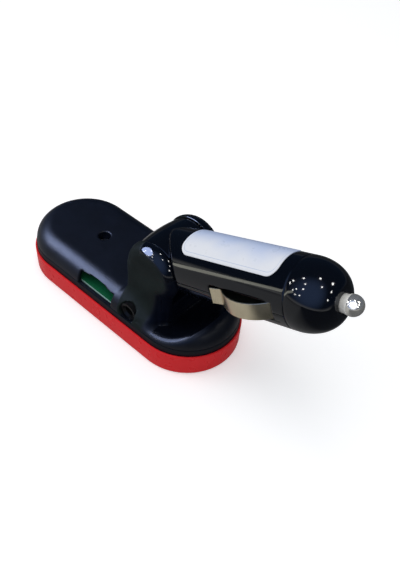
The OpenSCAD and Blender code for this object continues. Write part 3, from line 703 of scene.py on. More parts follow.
class Look(Enum):
    """The finishes of the part, each by its own name."""

    COVER_SKIN = CoverSkin("cover_skin", (0.0016, 0.0032, 0.0088), (0.0105, 0.0152, 0.0143),
                           (0.0018, 0.0026, 0.0056), 0.39, 0.55, 0.08)
    SATIN_BLACK = MouldedPlastic("satin_black", (0.0032, 0.0044, 0.0088), (0.0042, 0.0056, 0.0105),
                                 0.42, 0.05, 0.16, 0.006, 0.0, 0.2)
    GLOSS_BLACK = MouldedPlastic("gloss_black", (0.0018, 0.0024, 0.0046), (0.0026, 0.0034, 0.006),
                                 0.07, 0.03, 0.5, 0.0006, 0.008, 0.55)
    RED_RIM = MouldedPlastic("red_rim", (0.78, 0.02, 0.026), (0.82, 0.024, 0.03),
                             0.3, 0.05, 0.25, 0.0006, 0.0, 0.2)
    SOCKET_BLACK = MouldedPlastic("socket_black", (0.004, 0.004, 0.005), (0.007, 0.007, 0.0075),
                                  0.36, 0.05, 0.2, 0.004, 0.0, 0.2)
    CHIP_BLACK = MouldedPlastic("chip_black", (0.012, 0.012, 0.013), (0.022, 0.022, 0.022),
                                0.6, 0.08, 0.08, 0.01)
    CAN_BLUE = MouldedPlastic("can_blue", (0.02, 0.03, 0.11), (0.03, 0.045, 0.15), 0.35, 0.05, 0.3, 0.003)
    BUTTON_GREY = MouldedPlastic("button_grey", (0.2, 0.21, 0.23), (0.24, 0.25, 0.27),
                                 0.3, 0.05, 0.2, 0.004)
    NATURAL_WHITE = MouldedPlastic("natural_white", (0.74, 0.74, 0.69), (0.82, 0.82, 0.78),
                                   0.42, 0.06, 0.3, 0.006)
    LEAD_RED = MouldedPlastic("lead_red", (0.45, 0.02, 0.018), (0.52, 0.03, 0.025), 0.4, 0.05, 0.2, 0.004)
    CLIP_NICKEL = PlatedMetal("clip_nickel", (0.9, 0.79, 0.57), (0.76, 0.66, 0.47), 0.26, (1, 9, 1))
    TIP_NICKEL = PlatedMetal("tip_nickel", (0.93, 0.91, 0.86), (0.86, 0.83, 0.76),
                             0.16, (9, 1, 1), 0.0015, 0.82)
    # The shank's nickel is a lit copy of the tip's: near white and mostly diffuse, a painted reflection of
    # bright light.
    SHANK_NICKEL_PAINTED_REFLECTION = PlatedMetal("shank_nickel_painted_reflection", (0.98, 0.97, 0.92), (0.95, 0.93, 0.86),
                               0.3, (9, 1, 1), 0.0015, 0.12)
    STEEL = PlatedMetal("steel", (0.6, 0.6, 0.59), (0.48, 0.48, 0.47), 0.26)
    BRASS = PlatedMetal("brass", (0.78, 0.57, 0.25), (0.66, 0.46, 0.19), 0.25)
    BOARD = BoardMask("board", (0.006, 0.125, 0.05), (0.012, 0.17, 0.07), (0.62, 0.98, 0.9))
    # A near-black copy of the board: painted shade for the board inside the closed barrel.
    BOARD_PAINTED_SHADE = BoardMask("board_painted_shade", (0.003, 0.008, 0.006), (0.006, 0.014, 0.01), (0.05, 0.06, 0.04))
    LABEL = LabelFilm("label", (0.9, 0.92, 0.97), (0.5, 0.63, 0.95), (0.6, 0.68, 0.84))
    SMOKED = ClearPiece("smoked_window", (0.16, 0.17, 0.18), 0.05)
    DISPLAY = ClearPiece("display_glass", (0.5, 0.6, 0.48), 0.08)
    CLEAR = ClearPiece("fuse_tube", (0.93, 0.97, 0.95), 0.04)


class Wardrobe:
    """Makes each finish once and dresses pieces with it."""

    def __init__(self) -> None:
        """Starts with no material made."""
        self.made: dict[Look, bpy.types.Material] = {}

    def material(self, look: Look) -> bpy.types.Material:
        """The material of a finish.

        Args:
            look: the finish.

        Returns:
            Its material, made at its first use.
        """
        if look not in self.made:
            self.made[look] = look.value.material()
        return self.made[look]

    def dress(self, obj: bpy.types.Object, *looks: Look) -> None:
        """Sets an object's material slots.

        Args:
            obj: the piece.
            looks: the finishes of its slots, in order.
        """
        obj.data.materials.clear()
        for look in looks:
            obj.data.materials.append(self.material(look))

    def dress_nodes(self, looks: dict[str, Look]) -> None:
        """Gives carried-over nodes a finish on each of their slots.

        Args:
            looks: the finish of each node, by the node's name.
        """
        for node, look in looks.items():
            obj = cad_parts[node]
            if not obj.material_slots:
                obj.data.materials.append(self.material(look))
            for slot in obj.material_slots:
                slot.material = self.material(look)
            LOG.info("node %s dressed in %s", node, look.value.name)


def settle(obj: bpy.types.Object, body: str, slot: str, *nodes: str) -> None:
    """Makes a finished piece ride on its body and stand for its nodes.

    Args:
        obj: the piece.
        body: the body that it rides on.
        slot: the record's material slot; it is not used.
        nodes: the nodes that it stands for.
    """
    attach(obj, body)
    if nodes:
        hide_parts(*nodes)
    LOG.info("piece %s on %s", obj.name, body)


# ---- The housing ----

@dataclass
class Housing:
    """The red frame and the rear cover with its cheeks; the boards and the front lie inside."""

    wardrobe: Wardrobe
    step: float = 0.4
    # The red frame and the cover's body.
    length: float = 88.5
    width: float = 37.3
    rim_h: float = 8.4
    rim_wall: float = 1.6
    rim_lip: float = 0.65
    rim_edge: float = 0.25
    lip_edge: float = 0.15
    ledge_edge: float = 0.2
    seat_z: float = 7.4
    ledge_w: float = 2.6
    ledge_t: float = 1.2
    rim_round: float = 0.8
    cover_gap: float = 0.05
    top: float = 17.4
    wall: float = 1.6
    inner_edge: float = 0.25
    shoulder: float = 6.4
    line_z: float = 10.9
    line_step: float = 0.2
    # The dish under the plug.
    dish_r: float = 15.8
    dish_x: float = 26.35
    dish_z: float = 28.3
    dish_wall: float = 1.3
    dish_edge: float = 2.6
    # The cheeks at the hinge and the saddle between them.
    hinge_x: float = 18.75
    hinge_z: float = 30.3
    cheek_r: float = 10.1
    face_r: float = 8.0
    face_y: float = 12.6
    cheek_gap: float = 8.39
    rim_start: float = 8.49
    foot_left: float = 7.6
    foot_right: float = 7.0
    side_right: float = 8.0
    side_drop: float = 6.2
    foot_over: float = 0.5
    foot_edge: float = 0.6
    disc_edge: float = 1.2
    flare_top: float = 22.0
    flare_turn: float = 60.0
    rim_fade: float = 9.0
    face_edge: float = 0.35
    gap_edge: float = 0.3
    soft_left: float = 1.2
    soft_right: float = 3.0
    soft_way: tuple = (0.766, 0.643)
    soft_start: float = 5.0
    soft_run: float = 4.0
    saddle_z: float = 19.8
    saddle_edge: float = 0.6
    join_low: float = 0.4
    join_more: float = 3.2
    join_z: float = 11.3
    join_run: float = 3.0
    # The hollow inside the cover, its wells in the cheeks, and the hinge pins' holes.
    well_r: float = 6.0
    well_low: float = 9.8
    well_high: float = 11.4
    shaft_low: float = 14.0
    under_left: float = 6.5
    under_right: float = 4.9
    under_top: float = 18.2
    pin_r: float = 2.55
    pin_past: float = 0.5
    # The screw's post and hole.
    screw_x: float = -15.05
    post_r: float = 3.6
    post_low: float = 10.9
    post_skin: float = 0.8
    screw_head_r: float = 2.2
    screw_head_z: float = 12.8
    screw_shank_r: float = 1.2
    # The card slot with its thumb notch, the audio socket's hole, and the vent beside it.
    slot_x: float = -1.05
    slot_l: float = 16.0
    slot_z: float = 10.6
    slot_h: float = 4.7
    slot_depth_y: float = -10.4
    notch_r: float = 26.0
    notch_rise: float = 0.6
    notch_low: float = 12.0
    jack_x: float = 14.35
    jack_y: float = -13.4
    jack_z: float = 13.2
    jack_hole: float = 3.4
    jack_w: float = 3.5
    jack_top: float = 15.6
    jack_end_y: float = -1.4
    vent_x: float = 18.9
    vent_l: float = 1.8
    vent_half_h: float = 0.35
    vent_depth: float = 1.7
    # Where the skin is polished or dull: the rims' slice about the hinge, the dish, and the flanks, whose
    # darkness is painted shade.
    slice_way: tuple = (0.423, 0.906)
    slice_share: float = 0.68
    polish_inset: float = 0.3
    polish_over: float = 0.7
    dish_over: float = 0.8
    dish_start: float = 25.2
    dish_under: float = 0.25
    dish_clear: float = 0.5
    inner_side: float = 8.0
    inner_more: float = 3.0
    flank_in: float = 2.0
    flank_more: float = 2.4
    flank_run: float = 6.0
    flank_lift: float = 2.0
    flank_over: float = 0.5
    flank_soft: float = 5.0
    middle_soft: float = 4.0

    @property
    def dome_w(self) -> float:
        """Width of the cover above its crisp line."""
        return self.width - 2 * (self.rim_lip + self.cover_gap + self.line_step)

    @property
    def reach(self) -> float:
        """Half the distance between the centres of the round ends."""
        return (self.length - self.width) / 2

    def plan(self, x: Array, y: Array) -> Array:
        """Distance out from the cover's wall: the distance to the middle line, less half the width."""
        return np.hypot(np.maximum(np.abs(x) - self.reach, 0), y) - self.dome_w / 2

    def about_hinge(self, x: Array, z: Array) -> Array:
        """Distance from the hinge's axis."""
        return np.hypot(x - self.hinge_x, z - self.hinge_z)

    def about_dish(self, x: Array, z: Array) -> Array:
        """Distance from the dish's axis."""
        return np.hypot(x - self.dish_x, z - self.dish_z)

    def about_screw(self, x: Array, y: Array) -> Array:
        """Distance from the housing screw's axis."""
        return np.hypot(x - self.screw_x, y)

    def domed(self, x: Array, y: Array, z: Array, inset: float) -> Array:
        """A body with round ends and a rounded top edge, inset by a wall's thickness.

        Args:
            x: places along.
            y: places across.
            z: heights.
            inset: how far it lies inside the cover's outer face.

        Returns:
            Distances to its surface.
        """
        r = self.shoulder - inset
        out = self.plan(x, y) + inset + r
        up = z - (self.top - inset - r)
        return np.minimum(np.maximum(out, up), 0) + np.hypot(np.maximum(out, 0), np.maximum(up, 0)) - r

    def cheek_outline(self, x: Array, z: Array) -> Array:
        """Side view of the cheeks: a disc at the hinge joined to a foot that narrows downwards.

        Args:
            x: places along.
            z: heights.

        Returns:
            Distances out from the outline.
        """
        u, w = x - self.hinge_x, z - self.hinge_z
        fall = self.seat_z + self.foot_over - self.hinge_z
        narrowing = self.cheek_r - self.foot_left
        left = ((u + self.cheek_r) * fall - w * narrowing) / math.hypot(fall, narrowing)
        right = u - np.interp(w, [fall, -self.side_drop], [self.foot_right, self.side_right])
        foot = np.maximum(smooth_max(left, right, self.foot_edge), w)
        return smooth_min(np.hypot(u, w) - self.cheek_r, foot, self.disc_edge)

    def face_width(self, z: Array) -> Array:
        """Half width over the cheek faces: straight at the top, and part of a cosine down to the line.

        Args:
            z: heights.

        Returns:
            Half widths.
        """
        turn = math.radians(self.flare_turn)
        share = np.clip((self.flare_top - z) / (self.flare_top - self.line_z), 0, 1)
        rise = (1 - np.cos(np.arcsin(share * math.sin(turn)))) / (1 - math.cos(turn))
        return self.face_y + (self.dome_w / 2 - self.face_y) * rise

    def cheeks(self, x: Array, side: Array, z: Array) -> Array:
        """Both cheeks and the saddle between them.

        The outline is carried outwards, falls back on an arc at its rim, and is cut by the
        flat face outside and by the tongue's room inside. On the left the rim's arc fades
        out below the hinge, and below the rim the face's edge is rounded more.

        Args:
            x: places along.
            side: distances across from the middle.
            z: heights.

        Returns:
            Distances to their surface.
        """
        outline = self.cheek_outline(x, z)
        u, w = x - self.hinge_x, z - self.hinge_z
        rise, run = self.cheek_r - self.face_r, self.face_y - self.rim_start
        bend = (run * run + rise * rise) / (2 * rise)
        out = np.maximum(side - self.rim_start, 0)
        rim = np.hypot(np.maximum(outline + bend, 0), out) - bend
        rim = np.where(outline + bend > 0, rim, outline)
        rim = np.minimum(rim, outline + rise)
        plain = np.clip(-w / self.rim_fade, 0, 1) * (u < 0)
        rim = rim + (np.maximum(outline, -rise) - rim) * plain
        aim = self.soft_way[0] * u + self.soft_way[1] * w
        below = np.clip((self.soft_start - aim) / self.soft_run, 0, 1)
        soft = np.where(u < 0, self.soft_left, self.soft_right) * below
        cheek = smooth_max(rim, side - self.face_width(z), self.face_edge + soft)
        cheek = smooth_max(cheek, self.cheek_gap - side, self.gap_edge)
        saddle = smooth_max(side - self.cheek_gap - self.wall, z - self.saddle_z, self.saddle_edge)
        return smooth_min(cheek, smooth_max(saddle, outline, self.saddle_edge), self.saddle_edge)

    def hollow(self, x: Array, side: Array, y: Array, z: Array) -> Array:
        """The inside of the cover, with its wells in the cheeks.

        Args:
            x: places along.
            side: distances across from the middle.
            y: places across.
            z: heights.

        Returns:
            Distances to the hollow's surface.
        """
        inner = np.maximum(self.domed(x, y, z, self.wall),
                           self.dish_r + self.dish_wall - self.about_dish(x, z))
        under = box_field(x, side, z, (self.hinge_x - self.under_left, -1, self.seat_z),
                          (self.hinge_x + self.under_right, self.well_high, self.under_top))
        shaft = box_field(x, side, z, (self.hinge_x - self.well_r, self.well_low, self.shaft_low),
                          (self.hinge_x + self.well_r, self.well_high, self.hinge_z))
        well = np.maximum.reduce([self.about_hinge(x, z) - self.well_r, self.well_low - side,
                                  side - self.well_high])
        return np.minimum.reduce([inner, under, well, shaft])

    def openings(self, x: Array, y: Array, z: Array) -> list[tuple[Array, float]]:
        """The cuts through the cover: card slot with thumb notch, audio socket, vent, pins and screw.

        Args:
            x: places along.
            y: places across.
            z: heights.

        Returns:
            Distances to each cut, and how much its edge is rounded.
        """
        slot_top, slot_half = self.slot_z + self.slot_h, self.slot_l / 2
        slot = box_field(x, y, z, (self.slot_x - slot_half, -self.width, self.slot_z),
                         (self.slot_x + slot_half, self.slot_depth_y, slot_top))
        notch_z = slot_top + self.notch_rise - self.notch_r
        notch = np.maximum.reduce([np.hypot(x - self.slot_x, z - notch_z) - self.notch_r,
                                   y + self.dome_w / 2 - self.shoulder, self.notch_low - z,
                                   np.abs(x - self.slot_x) - slot_half])
        jack = np.maximum(np.hypot(x - self.jack_x, z - self.jack_z) - self.jack_hole, y - self.jack_y)
        room = box_field(x, y, z, (self.jack_x - self.jack_w, self.jack_y - 0.1, self.seat_z),
                         (self.jack_x + self.jack_w, self.jack_end_y, self.jack_top))
        vent = box_field(x, y, z, (self.vent_x, -self.width, self.jack_z - self.vent_half_h),
                         (self.vent_x + self.vent_l, self.vent_depth - self.width / 2,
                          self.jack_z + self.vent_half_h))
        pins = np.maximum(self.about_hinge(x, z) - self.pin_r, np.abs(y) - self.well_low - self.pin_past)
        screw = np.maximum(self.about_screw(x, y) - self.screw_head_r, self.screw_head_z - z)
        shank = self.about_screw(x, y) - self.screw_shank_r
        return [(smooth_min(slot, notch, 0.5), 0.35), (np.minimum(jack, room), 0.3), (vent, 0.2),
                (pins, 0.3), (screw, 0.5), (shank, 0.2)]

    def cover_field(self, x: Array, y: Array, z: Array) -> Array:
        """The rear cover: dome less dish, joined to the cheeks, hollowed, then cut for its openings.

        Args:
            x: places along.
            y: places across.
            z: heights.

        Returns:
            Distances to its surface.
        """
        side = np.abs(y)
        dome = np.maximum(self.domed(x, y, z, 0.0), self.seat_z - z)
        dome = smooth_max(dome, self.dish_r - self.about_dish(x, z), self.dish_edge)
        spread = self.join_low + self.join_more * np.clip((z - self.join_z) / self.join_run, 0, 1)
        body = smooth_min(dome, np.maximum(self.cheeks(x, side, z), self.seat_z - z), spread)
        body = smooth_max(body, -self.hollow(x, side, y, z), self.inner_edge)
        post = np.maximum.reduce([self.about_screw(x, y) - self.post_r, self.post_low - z,
                                  z - self.top + self.post_skin])
        body = np.minimum(body, post)
        for cut, edge in self.openings(x, y, z):
            body = smooth_max(body, -cut, edge)
        return body

    def mark_skin(self, mesh: bpy.types.Mesh) -> None:
        """Writes the attributes polish, face and dish from each vertex's place.

        Polish is how far the place lies inside the rims of the cheeks, which are the parts between the
        faces, or inside the dish and its rounded edge. Face is how far it lies inside a cheek's face, and
        dish how far it lies inside the dish or on a cheek's flank towards it. The flank is the band along
        the cheek's outline on the dish's side, which isn't counted as face, so that it keeps the darker
        dome colour and the dish's weak reflection: painted shade where the cheek turns from the light.

        Args:
            mesh: the cover's mesh.
        """
        x, y, z = read_points(mesh).T / MM
        u, w = x - self.hinge_x, z - self.hinge_z
        side, outline = np.abs(y), self.cheek_outline(x, z)
        inward = self.face_width(z) - self.polish_inset - side
        upper = self.slice_way[0] * u + self.slice_way[1] * w - self.slice_share * np.hypot(u, w)
        rim = np.minimum.reduce([inward, self.polish_over - outline, upper])
        dish = np.minimum.reduce([self.dish_over - (self.about_dish(x, z) - self.dish_r),
                                  x - self.dish_start, -self.domed(x, y, z, 0.0) - self.dish_under,
                                  self.cheeks(x, side, z) - self.dish_clear])
        face = np.minimum.reduce([self.polish_inset - outline, z - self.line_z,
                                  -upper + self.inner_more * (side > self.inner_side)])
        face = np.minimum(face, np.maximum(-inward, -upper))
        # Painted shade: the face ends short of the dish's side, so the flank there keeps the darker dome
        # colour.
        middle = -outline - self.flank_in - self.flank_more * np.clip(-w / self.flank_run, 0, 1)
        face = np.where(u > 0, np.minimum(face, middle / self.middle_soft), face)
        # The flank band, given a weak, dull reflection through dish, is painted shade.
        painted_shade_flank = np.minimum.reduce([-middle, self.flank_over - outline, u, -upper,
                                   z - self.line_z - self.flank_lift]) / self.flank_soft
        write_attribute(mesh, "polish", np.maximum(rim, dish))
        write_attribute(mesh, "face", face)
        write_attribute(mesh, "dish", np.maximum(dish, painted_shade_flank))

    def build_cover(self) -> None:
        """Meshes the rear cover inside a grid that leaves a margin round it."""
        margin = 1.3
        low = (-self.length / 2 - margin, -self.width / 2 - margin, self.seat_z - margin)
        high = (self.length / 2 + margin, self.width / 2 + margin, self.hinge_z + self.cheek_r + margin)
        cover = make_piece("rear_cover_shell", surface_net(self.cover_field, low, high, self.step))
        self.mark_skin(cover.data)
        self.wardrobe.dress(cover, Look.COVER_SKIN)
        settle(cover, "housing", "black_satin", "rear_cover")

    def build_skirt(self) -> None:
        """Carries a thin band round the foot of the cover; its top edge is the crisp line."""
        outer = self.width / 2 - self.rim_lip - self.cover_gap
        rows = np.array([[-0.35, 0.0], [-0.35, 1.0], [-0.1, 1.0], [0.0, 0.9], [0.0, 0.0]])
        heights = self.seat_z + 0.02 + (self.line_z - self.seat_z) * rows[:, 1]
        profile = np.stack([outer + rows[:, 0], heights], axis=1)
        skirt = make_piece("rear_cover_skirt", round_ring(profile, self.reach), crease=35)
        self.wardrobe.dress(skirt, Look.SATIN_BLACK)
        settle(skirt, "housing", "black_satin")

    def build_rim(self) -> None:
        """Carries the red frame's section round the housing: outer edge, lip, seat, ledge and foot."""
        w, e, lip, ledge = self.width / 2, self.rim_edge, self.lip_edge, self.ledge_edge
        section = np.concatenate([
            arc((w - e, self.rim_h - e), e, 0, 90, 6),
            arc((w - self.rim_lip + lip, self.rim_h - lip), lip, 90, 180, 4),
            [[w - self.rim_lip, self.seat_z], [w - self.rim_wall, self.seat_z],
             [w - self.rim_wall, self.ledge_t], [w - self.ledge_w, self.ledge_t]],
            arc((w - self.ledge_w + ledge, ledge), ledge, 180, 270, 4),
            arc((w - self.rim_round, self.rim_round), self.rim_round, 270, 360, 9),
        ])
        rim = make_piece("front_rim", round_ring(section, self.reach), crease=40)
        self.wardrobe.dress(rim, Look.RED_RIM)
        settle(rim, "housing", "red_plastic", "front_bezel")

    def build_jack(self) -> None:
        """Turns the audio socket's ring: a short tube with rounded lips and a cone into its hole."""
        length, r, bore, mouth, inner_lip, outer_lip = 3.0, 3.3, 1.8, 2.5, 0.12, 0.25
        profile = np.concatenate([
            [[0.0, bore], [length - 0.8, bore]],
            arc((length - inner_lip, mouth + 0.1), inner_lip, 180, 90, 4),
            arc((length - outer_lip, r - outer_lip), outer_lip, 0, 90, 5),
            [[0.0, r]],
        ])
        spot = (self.jack_x, self.jack_y, self.jack_z)
        place = Matrix.Translation(spot) @ Matrix.Rotation(-math.pi / 2, 4, "Z")
        ring = make_piece("line_in_ring", lathe(profile, SMALL_SIDES), place, 40)
        self.wardrobe.dress(ring, Look.SOCKET_BLACK)
        settle(ring, "housing", "socket_black")

    def build(self) -> None:
        """Builds the housing's own pieces and dresses the nodes that stay."""
        self.build_rim()
        self.build_cover()
        self.build_skirt()
        self.build_jack()
        self.wardrobe.dress_nodes({
            "front_panel": Look.GLOSS_BLACK, "display_lens": Look.SMOKED, "lcd_module": Look.DISPLAY,
            "lcd_backlight": Look.NATURAL_WHITE, "main_board": Look.BOARD, "board_chips": Look.CHIP_BLACK,
            "board_capacitors": Look.CAN_BLUE, "tact_switches": Look.STEEL, "card_socket": Look.STEEL,
            "line_in_jack": Look.SOCKET_BLACK, "rear_screw": Look.STEEL, "hinge_pin_near": Look.STEEL,
            "hinge_pin_far": Look.STEEL, "hinge_washers": Look.STEEL, "base_leads": Look.LEAD_RED})
        self.wardrobe.dress_nodes({"button_" + key: Look.BUTTON_GREY for key in (
            "play", "previous", "next", "channel_down", "channel_up")})


# ---- The plug ----

@dataclass
class Plug:
    """The lighter plug in its own frame: +X runs along the plug from the hinge."""

    wardrobe: Wardrobe
    step: float = 0.4
    margin: float = 0.9
    hinge: tuple = (18.75, 0.0, 30.3)
    tilt: float = 22.2
    # The barrel with its tongue, its hollow and the slots for the straps.
    r: float = 10.25
    wall: float = 1.5
    root_r: float = 10.4
    tongue_r: float = 9.6
    tongue_y: float = 8.24
    tongue_swell: float = 0.6
    pin_r: float = 2.55
    cavity_s: float = 13.5
    cavity_end: float = 1.15
    channel_start: float = -3.0
    channel_half_w: float = 3.8
    channel_half_h: float = 2.5
    end_edge: float = 0.35
    root_edge: float = 0.6
    tongue_edge: float = 0.5
    parting: float = 0.02
    parting_edge: float = 0.18
    split_z: float = -1.1
    slot_s: float = 24.6
    slot_end: float = 46.3
    slot_in: float = 7.0
    slot_out: float = 20.0
    slot_half: float = 2.85
    foot_room: tuple = (0.35, 0.6)
    # The nose and the neck inside it.
    nose_s: float = 50.5
    nose_l: float = 11.2
    nose_straight: float = 0.9
    nose_end_r: float = 3.0
    nose_bore_r: float = 2.6
    nose_bore_edge: float = 0.15
    neck_r: float = 8.8
    neck_bore_r: float = 7.6
    neck_l: float = 3.5
    # The label.
    label_s: float = 11.5
    label_l: float = 35.0
    label_half_w: float = 7.0
    label_corner: float = 3.0
    label_t: float = 0.15
    # The side straps.
    clip_s: float = 29.2
    clip_l: float = 15.5
    clip_out: float = 2.85
    clip_w: float = 5.2
    clip_t: float = 0.4
    clip_edge: float = 0.12
    tab_l: float = 3.6
    tab_out: float = 0.6
    foot_s: float = 45.8
    foot_l: float = 1.8
    foot_start: float = 0.15
    foot_y: float = 8.75
    # The centre contact and the spring behind it.
    ball_out: float = 2.3845
    ball_r: float = 2.9
    ball_share: float = 0.15
    shank_r: float = 2.5
    flange_s: float = 53.0
    flange_r: float = 4.2
    flange_t: float = 1.05
    flange_edge: float = 0.1
    place: Matrix = field(init=False)

    def __post_init__(self) -> None:
        """Works out the turn and shift from the plug's frame to the housing's."""
        self.place = Matrix.Translation(self.hinge) @ Matrix.Rotation(-math.radians(self.tilt), 4, "Y")

    @property
    def ahead(self) -> Array:
        """The way along the plug, in the housing's frame."""
        return np.array(self.place)[:3, 0]

    def barrel_field(self, s: Array, y: Array, z: Array) -> Array:
        """The whole barrel: a tube cut back round the hinge, joined to the tongue, and hollowed.

        Args:
            s: places along the plug.
            y: places across.
            z: heights over the plug's axis.

        Returns:
            Distances to its surface.
        """
        side, round_r, cross = np.abs(y), np.hypot(y, z), np.hypot(s, z)
        tube = smooth_max(round_r - self.r, s - self.nose_s, self.end_edge)
        tube = smooth_max(np.maximum(tube, -s), self.root_r - cross, self.root_edge)
        swell = self.tongue_swell * np.clip(1 - (y / self.tongue_y) ** 2, 0, 1)
        tongue = smooth_max(cross - self.tongue_r - swell, side - self.tongue_y, self.tongue_edge)
        link = np.maximum.reduce([round_r - self.tongue_r, side - self.tongue_y, -s, s - self.cavity_s])
        neck = np.maximum.reduce([round_r - self.neck_r, self.nose_s - 0.5 - s,
                                  s - self.nose_s - self.neck_l])
        body = np.minimum(smooth_min(tube, np.minimum(tongue, link), self.tongue_edge), neck)
        cavity = np.maximum.reduce([round_r - self.r + self.wall, self.cavity_s - s,
                                    s - self.nose_s + self.cavity_end])
        bore = np.maximum(round_r - self.neck_bore_r, self.cavity_s - s)
        channel = box_field(s, y, z, (self.channel_start, -self.channel_half_w, -self.channel_half_h),
                            (self.cavity_s + 0.5, self.channel_half_w, self.channel_half_h))
        near = (self.slot_s, self.slot_in, self.split_z - self.slot_half)
        high = self.split_z + self.slot_half
        slots = box_field(s, side, z, near, (self.slot_end, self.slot_out, high))
        feet = box_field(s, side, z, near, (self.foot_s + self.foot_l + self.foot_room[0],
                                            self.foot_y + self.foot_room[1], high))
        for cut, edge in ((cavity, 0.2), (bore, 0.2), (cross - self.pin_r, 0.3), (channel, 0.2),
                          (slots, 0.3), (feet, 0.2)):
            body = smooth_max(body, -cut, edge)
        return body

    def half_field(self, sign: int, s: Array, y: Array, z: Array) -> Array:
        """The half of the barrel above the seam, where sign is 1, or below it, where it is -1."""
        over_seam = self.parting - sign * (z - self.split_z)
        return smooth_max(self.barrel_field(s, y, z), over_seam, self.parting_edge)

    def build_barrel(self) -> None:
        """Meshes the two halves of the barrel, which meet at a fine seam."""
        reach, over = self.r + self.margin, 0.7
        for name, node, sign in (("barrel_top_half", "barrel_upper", 1),
                                 ("barrel_bottom_half", "barrel_lower", -1)):
            low = (-reach, -reach, self.split_z - over if sign > 0 else -reach)
            high = (self.nose_s + self.neck_l + self.margin, reach,
                    reach if sign > 0 else self.split_z + over)
            shape = surface_net(partial(self.half_field, sign), low, high, self.step)
            half = make_piece(name, shape, self.place)
            self.wardrobe.dress(half, Look.GLOSS_BLACK)
            settle(half, "plug", "black_gloss", node)

    def build_nose(self) -> None:
        """Turns the nose: a chamfer at the seam, a straight part, a quarter ellipse, and the bore."""
        a, b = self.nose_l - self.nose_straight, self.r - self.nose_end_r
        turn = np.linspace(0, np.pi / 2, NOSE_POINTS)
        shoulder, edge = self.neck_l + 0.1, self.nose_bore_edge
        profile = np.concatenate([
            [[0.0, self.neck_r + 0.1], [0.0, self.r - 0.08], [0.03, self.r - 0.02], [0.08, self.r]],
            np.stack([self.nose_straight + a * np.sin(turn), self.nose_end_r + b * np.cos(turn)], axis=1),
            [[self.nose_l, self.nose_bore_r + edge], [self.nose_l - edge, self.nose_bore_r],
             [shoulder, self.nose_bore_r], [shoulder, self.neck_r + 0.1]],
        ])
        profile[:, 0] += self.nose_s
        nose = make_piece("nose", lathe(profile, LARGE_SIDES), self.place, 38)
        self.wardrobe.dress(nose, Look.GLOSS_BLACK)
        settle(nose, "plug", "black_gloss", "nose_cap")

    def build_tip(self) -> None:
        """Turns the centre contact: flange, shank, a fine neck line and the ball.

        Faces that lie short of the ball by their place along the plug have the shank's finish, a near-white,
        mostly diffuse copy of the nickel whose brightness is a painted reflection.
        """
        ball_s = self.nose_s + self.nose_l + self.ball_out
        meet = math.degrees(math.asin(self.shank_r / self.ball_r))
        r, e, start, end = self.flange_r, self.flange_edge, self.flange_s, self.flange_s + self.flange_t
        profile = np.concatenate([
            arc((ball_s, 0.0), self.ball_r, 0, 180 - meet, BALL_POINTS),
            [[end, self.shank_r], [end, r - e], [end - e, r], [start + e, r], [start, r - e], [start, 0.0]],
        ])
        tip = make_piece("centre_contact", lathe(profile[::-1], SMALL_SIDES), self.place, 40)
        self.wardrobe.dress(tip, Look.TIP_NICKEL, Look.SHANK_NICKEL_PAINTED_REFLECTION)
        centres = np.empty(len(tip.data.polygons) * 3)
        tip.data.polygons.foreach_get("center", centres)
        along = (centres.reshape(-1, 3) / MM - np.array(self.hinge)) @ self.ahead
        on_shank = along < ball_s - self.ball_share * self.ball_r
        tip.data.polygons.foreach_set("material_index", on_shank.astype(np.int32))
        settle(tip, "tip", "nickel", "tip_contact")

    def build_label(self) -> None:
        """Lays the label on the barrel.

        Each row across is as wide as a rounded rectangle is there, and its height is the root of
        the barrel's radius squared less the place across squared. The rows close up towards the
        ends as a sine does, so that the round corners are smooth.
        """
        half_l, c, under = self.label_l / 2, self.label_corner, 0.02
        ends = np.sin(np.linspace(-np.pi / 2, np.pi / 2, 2 * LABEL_END_ROWS - 1))
        s = np.concatenate([-half_l + c * (1 + ends[:LABEL_END_ROWS]),
                            np.linspace(-half_l + c, half_l - c, LABEL_ROWS)[1:-1],
                            half_l - c + c * ends[LABEL_END_ROWS - 1:]])
        s = np.unique(np.round(s, 6))
        over = np.maximum(np.abs(s) - (half_l - c), 0)
        wide = self.label_half_w - c + np.sqrt(np.maximum(c * c - over * over, 0))
        y = wide[:, None] * np.linspace(-1, 1, LABEL_COLUMNS)
        rows, columns = y.shape
        layers = []
        for lift, inset in ((self.label_t, 0.0), (under, under)):
            r, across = self.r + lift, y * (1 + inset / self.label_half_w)
            layers.append(np.stack([np.repeat(s[:, None], columns, 1), across,
                                    np.sqrt(r * r - across * across)], axis=2).reshape(-1, 3))
        points = np.concatenate(layers)
        points[:, 0] += self.label_s + half_l
        index = np.arange(y.size).reshape(rows, columns)
        loop = np.concatenate([index[0, :], index[1:, -1], index[-1, -2::-1], index[-2:0:-1, 0]])
        following = np.roll(loop, -1)
        top = grid_faces(rows, columns, False, False)
        sides = np.stack([loop, following, following + y.size, loop + y.size], axis=1)
        shape = points, np.concatenate([top, top[:, ::-1] + y.size, sides])
        label = make_piece("label_film", shape, self.place, 50)
        self.mark_edge(label.data)
        self.wardrobe.dress(label, Look.LABEL)
        settle(label, "plug", "label_white", "rating_label")

    def mark_edge(self, mesh: bpy.types.Mesh) -> None:
        """Writes each vertex's distance in from the rounded outline, as the attribute edge.

        Args:
            mesh: the label's mesh.
        """
        own = (read_points(mesh) / MM - np.array(self.hinge)) @ np.array(self.place)[:3, :3]
        half_l, c = self.label_l / 2, self.label_corner
        along = np.abs(own[:, 0] - self.label_s - half_l) - half_l + c
        across = np.abs(own[:, 1]) - self.label_half_w + c
        out = np.hypot(np.maximum(along, 0), np.maximum(across, 0)) + np.minimum(np.maximum(along, across), 0)
        write_attribute(mesh, "edge", c - out)

